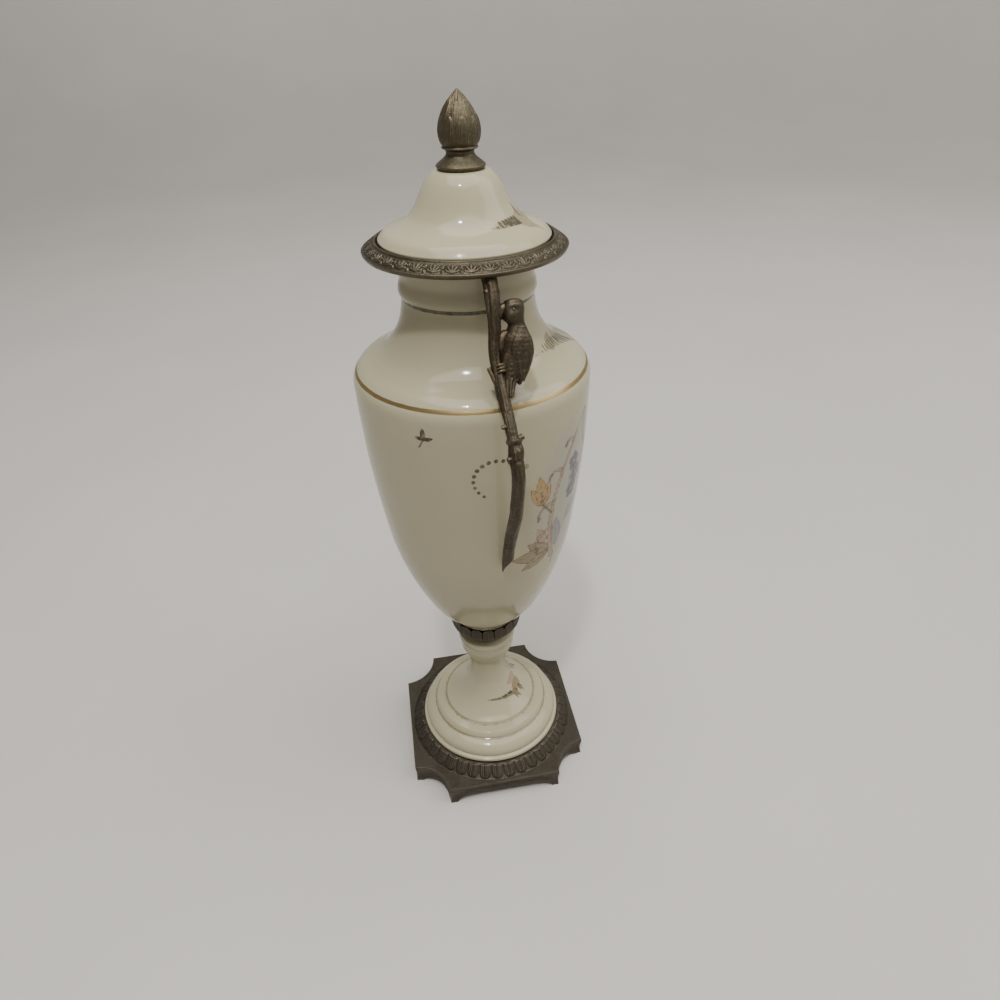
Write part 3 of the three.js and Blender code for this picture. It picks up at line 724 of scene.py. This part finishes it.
FINIAL_BOTTOM = float(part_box("finial")[0].z / MM)
finial_height = float((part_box("finial")[1].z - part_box("finial")[0].z) / MM)
stem_line = np.array([[9.5, 0], [10.1, 0.045], [9.3, 0.075], [7.3, 0.13], [5.9, 0.18], [5.7, 0.215],
                      [6.0, 0.245],
                      [7.2, 0.262], [7.4, 0.278], [7.1, 0.293]])
stem_line = catmull(stem_line * [1, finial_height], 0.25)
bud_line = catmull(np.array([[7.0, 0.3], [7.9, 0.36], [8.4, 0.44], [8.5, 0.50], [8.05, 0.60], [6.9, 0.71],
    [5.3, 0.81],
                             [3.4, 0.90], [1.7, 0.96], [0.3, 1.0]]) * [1, finial_height], 0.25)
finial_angles = np.linspace(0, 2 * math.pi, 9 * 32, endpoint=False)
line = np.vstack([stem_line, bud_line])
line[:, 1] += FINIAL_BOTTOM
bud_rows = np.arange(len(line)) >= len(stem_line)
finial_grid = revolve(line, finial_angles)
way_up = np.linspace(0, 1, len(bud_line))[:, None]
lift = (bud_relief(finial_angles[None, :], way_up) - 0.75) * smoothstep(0, 0.05, way_up)
lift = lift * np.clip(line[bud_rows][:, :1] / 3.0, 0, 1)
finial_grid[bud_rows, :, 0] += lift * np.cos(finial_angles)
finial_grid[bud_rows, :, 1] += lift * np.sin(finial_angles)
make_piece("finial_bud", [(finial_grid, False, True)], finial_bronze, ["finial"], 60)

# Plinth

HALF, CORNER_LEG, CORNER_HOLLOW = 54.4, 19.8, 5.5
PLINTH_TURN = math.radians(-5.8)
PLINTH_EDGE, SEAT_TOP, SEAT_RADIUS, BAND_FOOT = 13.2, 19.2, 45.2, 51.8
TIP = HALF - CORNER_LEG
TOE, ARCH_RUN, ARCH_RISE, CORNER_RISE = 4.5, 13.0, 6.6, 5.0


def plinth_radius(angle):
    """Distance from the middle to the plan's edge, and the height of the apron's lower edge there."""
    a = (angle + math.pi / 4) % (math.pi / 2) - math.pi / 4
    corner = math.atan2(TIP, HALF)
    chord = CORNER_LEG * math.sqrt(2)
    radius = chord ** 2 / 8 / CORNER_HOLLOW + CORNER_HOLLOW / 2
    middle = ((HALF + TIP) / 2 + (radius - CORNER_HOLLOW) * math.sqrt(0.5)) * np.array([1, 1])
    if abs(a) <= corner:
        distance = HALF / math.cos(a)
        from_tip = TIP - abs(HALF * math.tan(a))
        rise = ARCH_RISE
    else:
        d = np.array([math.cos(abs(a)), math.sin(abs(a))])
        along = d @ middle
        distance = along - math.sqrt(max(along ** 2 - middle @ middle + radius ** 2, 0))
        point = distance * d
        from_tip = np.linalg.norm(point - np.array([HALF, TIP]))
        rise = CORNER_RISE
    t = min(max((from_tip - TOE) / ARCH_RUN, 0), 1)
    return distance, rise * math.sqrt(1 - (1 - t) ** 2)


plinth_angles = np.linspace(0, 2 * math.pi, 1440, endpoint=False)
edge_at, arch_at = np.array([plinth_radius(a) for a in plinth_angles]).T
turned_angles = plinth_angles + PLINTH_TURN


def plinth_ring(radius, z):
    r = np.broadcast_to(radius, plinth_angles.shape)
    return np.stack([r * np.cos(turned_angles), r * np.sin(turned_angles), np.broadcast_to(z, r.shape)],
                    axis=-1)


leaf_cell = (plinth_angles * 40 / (2 * math.pi)) % 1 - 0.5


def band_ring(t):
    """A ring of the leaf band, t from the seat out to the foot of the slope."""
    half = 0.47 * math.sqrt(max(1 - max(t - 0.45, 0) ** 2 / 0.32, 0))
    x = np.abs(leaf_cell) / max(half, 1e-3)
    body = np.where(x < 1, np.sqrt(np.clip(1 - x ** 2, 0, 1)) ** 0.8, 0)
    rib = 0.22 * np.exp(-(leaf_cell * 18) ** 2) + 0.10 * np.cos(leaf_cell * 2 * math.pi * 6)
    grow = smoothstep(0, 0.12, t) * (1 - smoothstep(0.93, 1.0, t))
    h = (0.7 * body + np.where(x < 1, rib, 0)) * grow
    radius = SEAT_RADIUS + (BAND_FOOT - SEAT_RADIUS) * t + 0.62 * h
    z = SEAT_TOP + (PLINTH_EDGE + 0.15 - SEAT_TOP) * t + 0.78 * h
    return plinth_ring(radius, z)


apron = []
for t in np.linspace(0, 1, 9):
    z = arch_at * (1 - t) + (PLINTH_EDGE - 0.5) * t
    waist = -0.9 * math.sin(math.pi * min(1, t * 1.15)) ** 1.0
    apron.append(plinth_ring(edge_at - 0.1 + waist, z))
plinth_rows = [
    plinth_ring(1.0, SEAT_TOP - 2.4),
    plinth_ring(SEAT_RADIUS - 2.4, SEAT_TOP - 2.4),
    plinth_ring(BAND_FOOT - 2.4, PLINTH_EDGE - 2.4),
    plinth_ring(edge_at - 2.6, PLINTH_EDGE - 2.4),
    plinth_ring(edge_at - 2.5, arch_at + 0.15),
    plinth_ring(edge_at - 2.2, arch_at),
    plinth_ring(edge_at - 0.4, arch_at),
    *apron,
    plinth_ring(edge_at, PLINTH_EDGE - 0.35),
    plinth_ring(edge_at - 0.25, PLINTH_EDGE - 0.05),
    plinth_ring(edge_at - 0.7, PLINTH_EDGE),
    *[plinth_ring(edge_at - 0.7 + (BAND_FOOT + 0.3 - edge_at + 0.7) * t,
                  PLINTH_EDGE + 0.02) for t in np.linspace(0.1, 1, 9)],
    *[band_ring(t) for t in np.linspace(1, 0, 26)],
    plinth_ring(SEAT_RADIUS - 0.8, SEAT_TOP),
    plinth_ring(1.0, SEAT_TOP),
]
make_piece("plinth_cast", [(np.array(plinth_rows), False, True)],
                    plinth_bronze, ["plinth"], 35)

# Handles. The branch's line and the parrot's build follow the frame's solids.

RING_EDGE, SHOULDER, VASE_BOTTOM = 43.9, 55.4, 96.6
LINE_TOP, LINE_REACH = RING_EDGE - 5.6, SHOULDER + 19.3
LINE_TOP_Z, LINE_TIP_Z = 321.1, VASE_BOTTOM + 86.5
SHOULDER_Z = VASE_BOTTOM + 165
UPPER = [[0, 0, 0], [0.15, 0.142, -0.2], [0.23, 0.29, -0.6], [0.33, 0.494, -1.4], [0.527, 0.666, -1.3],
         [0.815, 0.9, -0.3]]
LOWER = [[1, 0.112, 0], [0.907, 0.367, 0], [0.596, 0.684, 0]]
THICKNESS = [[0, 1.0], [0.06, 1.0], [0.12, 0.88], [0.3, 0.83], [0.38, 0.74], [0.418, 0.76], [0.426, 0.92],
             [0.47, 0.97],
             [0.62, 1], [0.85, 1.0], [0.95, 1.0], [1, 0.8]]


def lowest_point():
    """Where the branch's line ends, beside the bowl: read from the lowest points of the solid."""
    co = np.array([v.co for v in nodes["handle_right"].data.vertices]) / MM
    low = co[co[:, 2] < co[:, 2].min() + 1.0]
    return low.mean(0)


line_points = [[LINE_TOP + (LINE_REACH - LINE_TOP) * o, -f, z0 + (z1 - z0) * d]
               for z0, z1, rows in ((LINE_TOP_Z, SHOULDER_Z, UPPER),
                   (SHOULDER_Z, LINE_TIP_Z, LOWER)) for o, d, f in rows]
line_points.append([lowest_point()[0], 0, LINE_TIP_Z])
branch_line = catmull(np.array(line_points), 0.2)
gaps = np.linalg.norm(np.diff(branch_line, axis=0), axis=1)
run = np.concatenate([[0], np.cumsum(gaps)])
BRANCH_LENGTH = run[-1]


def on_branch(share):
    """Place and directions at a share of the branch's length: along, outwards and to the front."""
    s = np.clip(share, 0, 1) * BRANCH_LENGTH
    def place(x):
        return np.array([np.interp(x, run, branch_line[:, k]) for k in range(3)])
    at = place(s)
    along = place(min(s + 0.6, BRANCH_LENGTH)) - place(max(s - 0.6, 0))
    along /= np.linalg.norm(along)
    out = np.cross([0, -1, 0], along)
    out /= np.linalg.norm(out)
    return at, along, out, np.cross(along, out)


BARK_END = 0.475
LIP = 0.424
KNOTS = [(0.07, 200, 0.5, 3.0), (0.19, 330, 0.45, 3.5), (0.47, 250, 0.8, 2.5), (0.445, 60, 0.7, 2.6),
         (0.40, 270, 0.5, 2.2)]


def bark(share, angle, point):
    """Height in mm of the bark's ridges, knots and splits."""
    lengthwise = Vector((math.cos(angle) * 2.6, math.sin(angle) * 2.6, share * 9))
    ridges = noise.fractal(lengthwise, 0.9, 2.0, 4)
    fine = noise.noise(Vector(point) * 0.9)
    with_bark = 1 - smoothstep(BARK_END - 0.004, BARK_END + 0.004, np.array(share)).item()
    h = (0.38 * ridges + 0.12 * fine) * (0.7 + 0.3 * with_bark) + 0.12 * with_bark
    h += 0.22 * (1 - with_bark) * math.cos(3 * (angle - 2.2 * (share - 0.5)))
    h -= 0.35 * math.exp(-((share - BARK_END) / 0.0035) ** 2)
    facing = 0.5 + 0.5 * math.cos(angle - 0.9)
    drop = (share - LIP) * BRANCH_LENGTH
    lip = 1.1 * math.exp(-(drop / 0.75) ** 2) - 0.35 * math.exp(-((drop - 2.2) / 1.2) ** 2)
    h += (0.35 + 0.65 * facing) * lip
    for at, degrees, rise, long in KNOTS:
        gap = (math.degrees(angle) - degrees + 180) % 360 - 180
        h += rise * math.exp(-((share - at) * BRANCH_LENGTH / long) ** 2 - (gap / 38) ** 2)
    if share > BARK_END:
        split = (math.degrees(angle) - 200 - 60 * (share - 0.7) + 180) % 360 - 180
        h -= 0.55 * math.exp(-(split / 9) ** 2) * math.sin(math.pi * min(1, (share - BARK_END) / 0.5))
    return h


def branch_grid():
    steps, sides = 330, 44
    grid = []
    angles = np.linspace(0, 2 * math.pi, sides, endpoint=False)
    for i in range(steps + 1):
        share = i / steps
        thick = 2.9 * np.interp(share, *zip(*THICKNESS))
        flat = smoothstep(0.7, 1, np.array(share)).item()
        cut = smoothstep(0.93, 1, np.array(share)).item()
        wide = (thick * (1 - flat) + 1.2 * flat) * (1 - 0.5 * cut)
        deep = thick * (1 - 0.85 * cut)
        at, _, o, f = on_branch(share)
        row = []
        for a in angles:
            direction = o * math.cos(a) + f * math.sin(a)
            base = at + o * wide * math.cos(a) + f * (deep * math.sin(a) - 0.8 * thick * cut)
            h = bark(share, a, base) - 0.12
            row.append(base + direction * h * (1 - 0.7 * cut))
        grid.append(row)
    grid = np.array(grid)
    grid[0, :, 2] = LINE_TOP_Z
    return grid


def stub_grid(share, way, length, radius, end=0.95, ring=0.0, sides=20):
    """A bud or sawn stub on the branch. way is [along, outwards, to the front], and ring its rim's lip."""
    at, along, o, f = on_branch(share)
    d = along * way[0] + o * way[1] + f * way[2]
    d /= np.linalg.norm(d)
    side = np.cross(d, [0.3, 0.5, 0.8])
    side /= np.linalg.norm(side)
    third = np.cross(d, side)
    rows = []
    profile = [(0, 1.2), (0.3, 1.08), (0.6, 1.0), (0.8, end + ring), (0.92, end + ring),
               (0.99, end * 0.9 + ring), (1.0, end * 0.6),
               (0.96, end * 0.45), (0.955, 0.05)]
    for s, scale in profile:
        a = np.linspace(0, 2 * math.pi, sides, endpoint=False)[:, None]
        wobble = 1 + 0.06 * np.sin(3 * a + share * 40) + 0.04 * np.sin(5 * a)
        rows.append(at + d * length * s + (side * np.cos(a) + third * np.sin(a)) * radius * scale * wobble)
    return np.array(rows)


# Parrot, in shares of its length

BIRD, BIRD_START = 38.0, 9.8
BIRD_ROWS = [[0.025, 0.209, 0.096, 0.082], [0.07, 0.205, 0.118, 0.102], [0.135, 0.2, 0.12, 0.108],
             [0.19, 0.204, 0.112, 0.1],
             [0.24, 0.232, 0.09, 0.09], [0.29, 0.236, 0.11, 0.113], [0.36, 0.218, 0.15, 0.137],
             [0.51, 0.208, 0.165, 0.142], [0.64, 0.198, 0.165, 0.132], [0.76, 0.172, 0.135, 0.103],
             [0.84, 0.108, 0.076, 0.068], [0.99, 0.066, 0.042, 0.05]]
WING_ROWS = [[0.27, 0.26, 0.05, 0.03, 0.09], [0.38, 0.258, 0.106, 0.044, 0.12],
             [0.55, 0.258, 0.118, 0.045, 0.126],
             [0.73, 0.245, 0.08, 0.036, 0.1], [0.86, 0.225, 0.02, 0.02, 0.07]]


def bird_loft(rows, sides, relief, side=0, step=0.011):
    """A rounded solid through rows of [down, off, half depth, half width, step aside], with relief in mm."""
    table = catmull(np.array([r + [0] * (5 - len(r)) for r in rows], float), step)
    first, last = table[0].copy(), table[-1].copy()
    def rounded(row, direction, reach):
        made = []
        for q in (0.99, 0.93, 0.82, 0.66, 0.45, 0.22):
            r = row.copy()
            r[0] += direction * reach * q
            r[2:4] *= math.sqrt(1 - q * q)
            made.append(r)
        return made
    table = np.vstack([rounded(first, -1, min(first[2] * 0.42, 0.03)), table,
        rounded(last, 1, min(last[2] * 0.5, 0.02))[::-1]])
    grid = []
    angles = np.linspace(0, 2 * math.pi, sides, endpoint=False)
    for down, off, deep, wide, aside in table:
        share = (BIRD_START + down * BIRD) / BRANCH_LENGTH
        at, along, o, f = on_branch(share)
        row = []
        for a in angles:
            h = relief(down, a)
            x = side * aside * BIRD + (wide * BIRD + h) * math.cos(a)
            y = off * BIRD + (deep * BIRD + h) * math.sin(a)
            row.append(at + o * x + f * y)
        grid.append(row)
    return np.array(grid)


def scallop(down, angle, size, count):
    """Overlapping round feather tips: 0 at their edges, 1 at their middles."""
    row = down / size
    k = math.floor(row)
    t = row - k
    cell = (angle / (2 * math.pi) * count + 0.5 * (k % 2)) % 1 - 0.5
    edge = 0.35 + 0.65 * math.sqrt(max(0, 1 - (2 * cell) ** 2))
    inside = t < edge
    if inside:
        return 1 - 0.7 * (1 - t / edge) - 0.25 * math.exp(-(cell * 14) ** 2)
    cell = (angle / (2 * math.pi) * count + 0.5 * ((k + 1) % 2)) % 1 - 0.5
    return 0.25 * (1 - 0.6 * abs(cell))


def body_relief(down, angle):
    h = 0.15 * (scallop(down, angle, 0.05, 20) - 0.6) * smoothstep(0.2, 0.3, np.array(down)).item()
    h += 0.06 * (scallop(down, angle, 0.022, 26) - 0.6) * (down < 0.25)
    if down > 0.82:
        h = 0.22 * math.cos(angle * 9)
    # eye hollow and brow on both sides of the head
    for side in (0, math.pi):
        gap = (angle - side + math.pi) % (2 * math.pi) - math.pi
        h -= 0.3 * math.exp(-((down - 0.095) / 0.022) ** 2 - (gap / 0.42) ** 2)
        h += 0.32 * math.exp(-((down - 0.052) / 0.015) ** 2 - (gap / 0.6) ** 2)
        h += 0.25 * math.exp(-((down - 0.15) / 0.03) ** 2 - ((gap + (0.5 if side == 0 else -0.5)) / 0.4) ** 2)
    return h


def wing_relief(down, angle):
    if down < 0.52:
        return 0.17 * (scallop(down, angle, 0.045, 14) - 0.5)
    feathers = abs(math.sin(angle * 4.5 + 0.6))
    step = 0.25 * (((down - 0.52) / 0.12) % 1)
    return 0.30 * (feathers - 0.5) - step * 0.5


def curved_cone(points, radii, sides=16):
    """A tapered rod through points of the form [down, off, aside] in shares of the parrot's length."""
    line = catmull(np.array(points, float), 0.006)
    thick = np.interp(np.linspace(0, 1, len(line)), np.linspace(0, 1, len(radii)), radii)
    places = []
    for down, off, aside in line:
        at, along, o, f = on_branch((BIRD_START + down * BIRD) / BRANCH_LENGTH)
        places.append(at + f * off * BIRD + o * aside * BIRD)
    places = np.array(places)
    way = np.gradient(places, axis=0)
    way /= np.linalg.norm(way, axis=1)[:, None]
    grid = []
    for p, d, r in zip(places, way, thick):
        side = np.cross(d, [0.1, 0.2, 0.97])
        if np.linalg.norm(side) < 0.2:
            side = np.cross(d, [0.97, 0.1, 0.2])
        side /= np.linalg.norm(side)
        third = np.cross(d, side)
        a = np.linspace(0, 2 * math.pi, sides, endpoint=False)[:, None]
        grid.append(p + (side * np.cos(a) + third * np.sin(a)) * r)
    return np.array(grid)


def ball(down, off, aside, radius):
    at, along, o, f = on_branch((BIRD_START + down * BIRD) / BRANCH_LENGTH)
    centre = at + f * off * BIRD + o * aside * BIRD
    rows = []
    for t in np.linspace(0.06, math.pi - 0.06, 9):
        a = np.linspace(0, 2 * math.pi, 16, endpoint=False)
        rows.append(centre + radius * np.stack([np.sin(t) * np.cos(a), np.sin(t) * np.sin(a),
                                                np.full_like(a, -math.cos(t))], axis=-1))
    return np.array(rows)


def parrot_grids():
    grids = [
        bird_loft(BIRD_ROWS, 72, body_relief),
        bird_loft(WING_ROWS, 40, wing_relief, 1),
        bird_loft(WING_ROWS, 40, wing_relief, -1),
        # upper and lower halves of the beak
        curved_cone([[0.075, 0.13, 0], [0.085, 0.095, 0], [0.12, 0.07, 0], [0.165, 0.074, 0],
                     [0.19, 0.085, 0]],
                    [2.1, 2.0, 1.7, 1.1, 0.15]),
        curved_cone([[0.135, 0.13, 0], [0.15, 0.105, 0], [0.165, 0.095, 0]], [1.3, 1.1, 0.5]),
        # breast, pressed to the branch below the gap
        curved_cone([[0.33, 0.14, 0], [0.365, 0.085, 0], [0.43, 0.07, 0], [0.52, 0.085, 0]],
                    [2.0, 2.5, 2.7, 2.0]),
        # tail feathers along the branch
        curved_cone([[0.74, 0.15, 0.03], [0.86, 0.10, 0.025], [0.97, 0.07, 0.016]], [1.3, 1.3, 0.6]),
        curved_cone([[0.74, 0.15, -0.03], [0.86, 0.10, -0.025], [0.97, 0.07, -0.016]], [1.3, 1.3, 0.6]),
    ]
    for s in (-1, 1):
        grids.append(ball(0.095, 0.185, s * 0.097, 0.6))
        # thigh, and the toes that grip the branch
        grids.append(curved_cone([[0.50, 0.14, s * 0.085], [0.58, 0.095, s * 0.075],
            [0.67, 0.06, s * 0.06]], [2.0, 1.6, 0.9]))
        for down in (0.65, 0.685, 0.72):
            grids.append(curved_cone([[down - 0.01, 0.075, s * 0.045], [down, 0.055, s * 0.068],
                [down + 0.004, 0.015, s * 0.082],
                                      [down + 0.012, -0.02, s * 0.078]], [0.75, 0.72, 0.6, 0.2], 10))
    return grids


REACH_EASE = 0.8  # mm over which the outermost bark is eased back


def within_reach(grid):
    """Keeps the bark behind the widest place of the frame's handle, and below the ring."""
    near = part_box("handle_right")[1].x / MM - REACH_EASE
    grid = np.array(grid, float)
    over = np.maximum(grid[..., 0] - near, 0)
    grid[..., 0] = np.minimum(grid[..., 0], near) + REACH_EASE * np.tanh(over / REACH_EASE)
    grid[..., 2] = np.minimum(grid[..., 2], LINE_TOP_Z)
    return grid


def handle_grids():
    stubs = [
        stub_grid(0.035, [0.6, 0.3, -1], 3.3, 1.8, 0.8),
        stub_grid(0.305, [-1, 0, -0.25], 12.3, 1.2, 0.85),
        stub_grid(0.385, [0, 0, -1], 3.7, 1.1, 0.9),
        stub_grid(0.428, [-0.45, 0.35, 1], 4.6, 1.5, 0.8),
        stub_grid(0.47, [0, 0.2, -1], 4.1, 1.3, 0.8),
    ]
    return [(within_reach(g), False, True) for g in [branch_grid(), *stubs, *parrot_grids()]]


grids = handle_grids()
for name, mirrored in (("handle_right_cast", False), ("handle_left_cast", True)):
    node = name.replace("_cast", "")
    make_piece(name, grids, handle_bronze, [node], 50, mirrored)


# Floor, light and camera


def studio_floor():
    """A pale round floor that turns up smoothly at its rim. Its colour holds painted light and shade: paler
    up the rim, and darker towards +Y.
    """
    rim = [[0.02, 0], [0.5, 0], [1.2, 0], [1.8, 0], [2.3, 0.04], [2.7, 0.2], [3.0, 0.55], [3.15, 1.1],
           [3.2, 1.9], [3.2, 3.2]]
    line = catmull(np.array(rim), 0.08)
    grid = revolve(line * 1000, np.linspace(0, 2 * math.pi, 96, endpoint=False))
    mesh = bpy.data.meshes.new("floor")
    rows, cols = grid.shape[:2]
    mesh.from_pydata((grid.reshape(-1, 3) * MM).tolist(), [], grid_faces(rows, cols) + [list(range(cols))])
    mesh.shade_smooth()
    n = Nodes("floor")
    tint = n.mix(n.spread(n.noise(3, 3), 0.35, 0.7), (0.45, 0.435, 0.415), (0.47, 0.455, 0.43))
    where = n.add("ShaderNodeTexCoord").outputs["Object"]
    split = n.add("ShaderNodeSeparateXYZ", {0: where}).outputs
    height, back = split[2], split[1]
    # painted light: the floor is painted paler as it rises up the rim
    tint = n.mix(n.spread(height, 0.0, 1.2), tint, (0.70, 0.68, 0.655))
    # painted shade: the floor is painted darker towards +Y, the left of the camera's view
    tint = n.mix(n.spread(back, 0.0, 1.6, 0.0, 0.5), tint, (0.24, 0.235, 0.23))
    mesh.materials.append(n.finish({"Base Color": tint, "Roughness": 0.85}))
    floor = bpy.data.objects.new("floor", mesh)
    bpy.context.scene.collection.objects.link(floor)


def area_light(name, azimuth, elevation, distance, size, power, tint=(1, 1, 1)):
    """A round light aimed at the urn's middle, placed by its direction as seen from the urn."""
    a, e = math.radians(azimuth), math.radians(elevation)
    way = Vector((math.sin(a) * math.cos(e), -math.cos(a) * math.cos(e), math.sin(e)))
    data = bpy.data.lights.new(name, "AREA")
    data.shape = "DISK"
    data.size = size
    data.energy = power
    data.color = tint
    light = bpy.data.objects.new(name, data)
    light.location = Vector((0, 0, 0.2)) + way * distance
    light.rotation_mode = "QUATERNION"
    light.rotation_quaternion = (-way).to_track_quat("-Z", "Y")
    bpy.context.scene.collection.objects.link(light)


studio_floor()
area_light("key", -114, 64, 1.7, 0.12, 14, (1.0, 0.97, 0.93))
area_light("overhead", -80, 84, 2.6, 3.0, 100, (1.0, 0.98, 0.94))
area_light("soft_right", -15, 42, 2.2, 1.6, 20, (1.0, 0.98, 0.95))
world = bpy.data.worlds.new("world")
bpy.context.scene.world = world
world.use_nodes = True
background = world.node_tree.nodes["Background"]
background.inputs["Color"].default_value = (1.0, 0.98, 0.95, 1)
background.inputs["Strength"].default_value = 0.13

CAMERA_ROLL, CAMERA_LENS = -1.96, 24.81  # degrees, mm
CAMERA_PLACE = Vector((-0.2943, 0.0652, 0.4035))
forward = Vector((0.78876, -0.20532, -0.57940)).normalized()
level = forward.cross(Vector((0, 0, 1))).normalized()
upward = level.cross(forward)
roll = math.radians(CAMERA_ROLL)
right = level * math.cos(roll) + upward * math.sin(roll)
up = upward * math.cos(roll) - level * math.sin(roll)
camera_data = bpy.data.cameras.new("camera")
camera_data.lens = CAMERA_LENS
camera_data.sensor_width = 36
camera_data.clip_start = 0.01
camera = bpy.data.objects.new("camera", camera_data)
camera.matrix_world = Matrix([
    [right.x, up.x, -forward.x, CAMERA_PLACE.x],
    [right.y, up.y, -forward.y, CAMERA_PLACE.y],
    [right.z, up.z, -forward.z, CAMERA_PLACE.z],
    [0, 0, 0, 1],
])
bpy.context.scene.collection.objects.link(camera)
bpy.context.scene.camera = camera
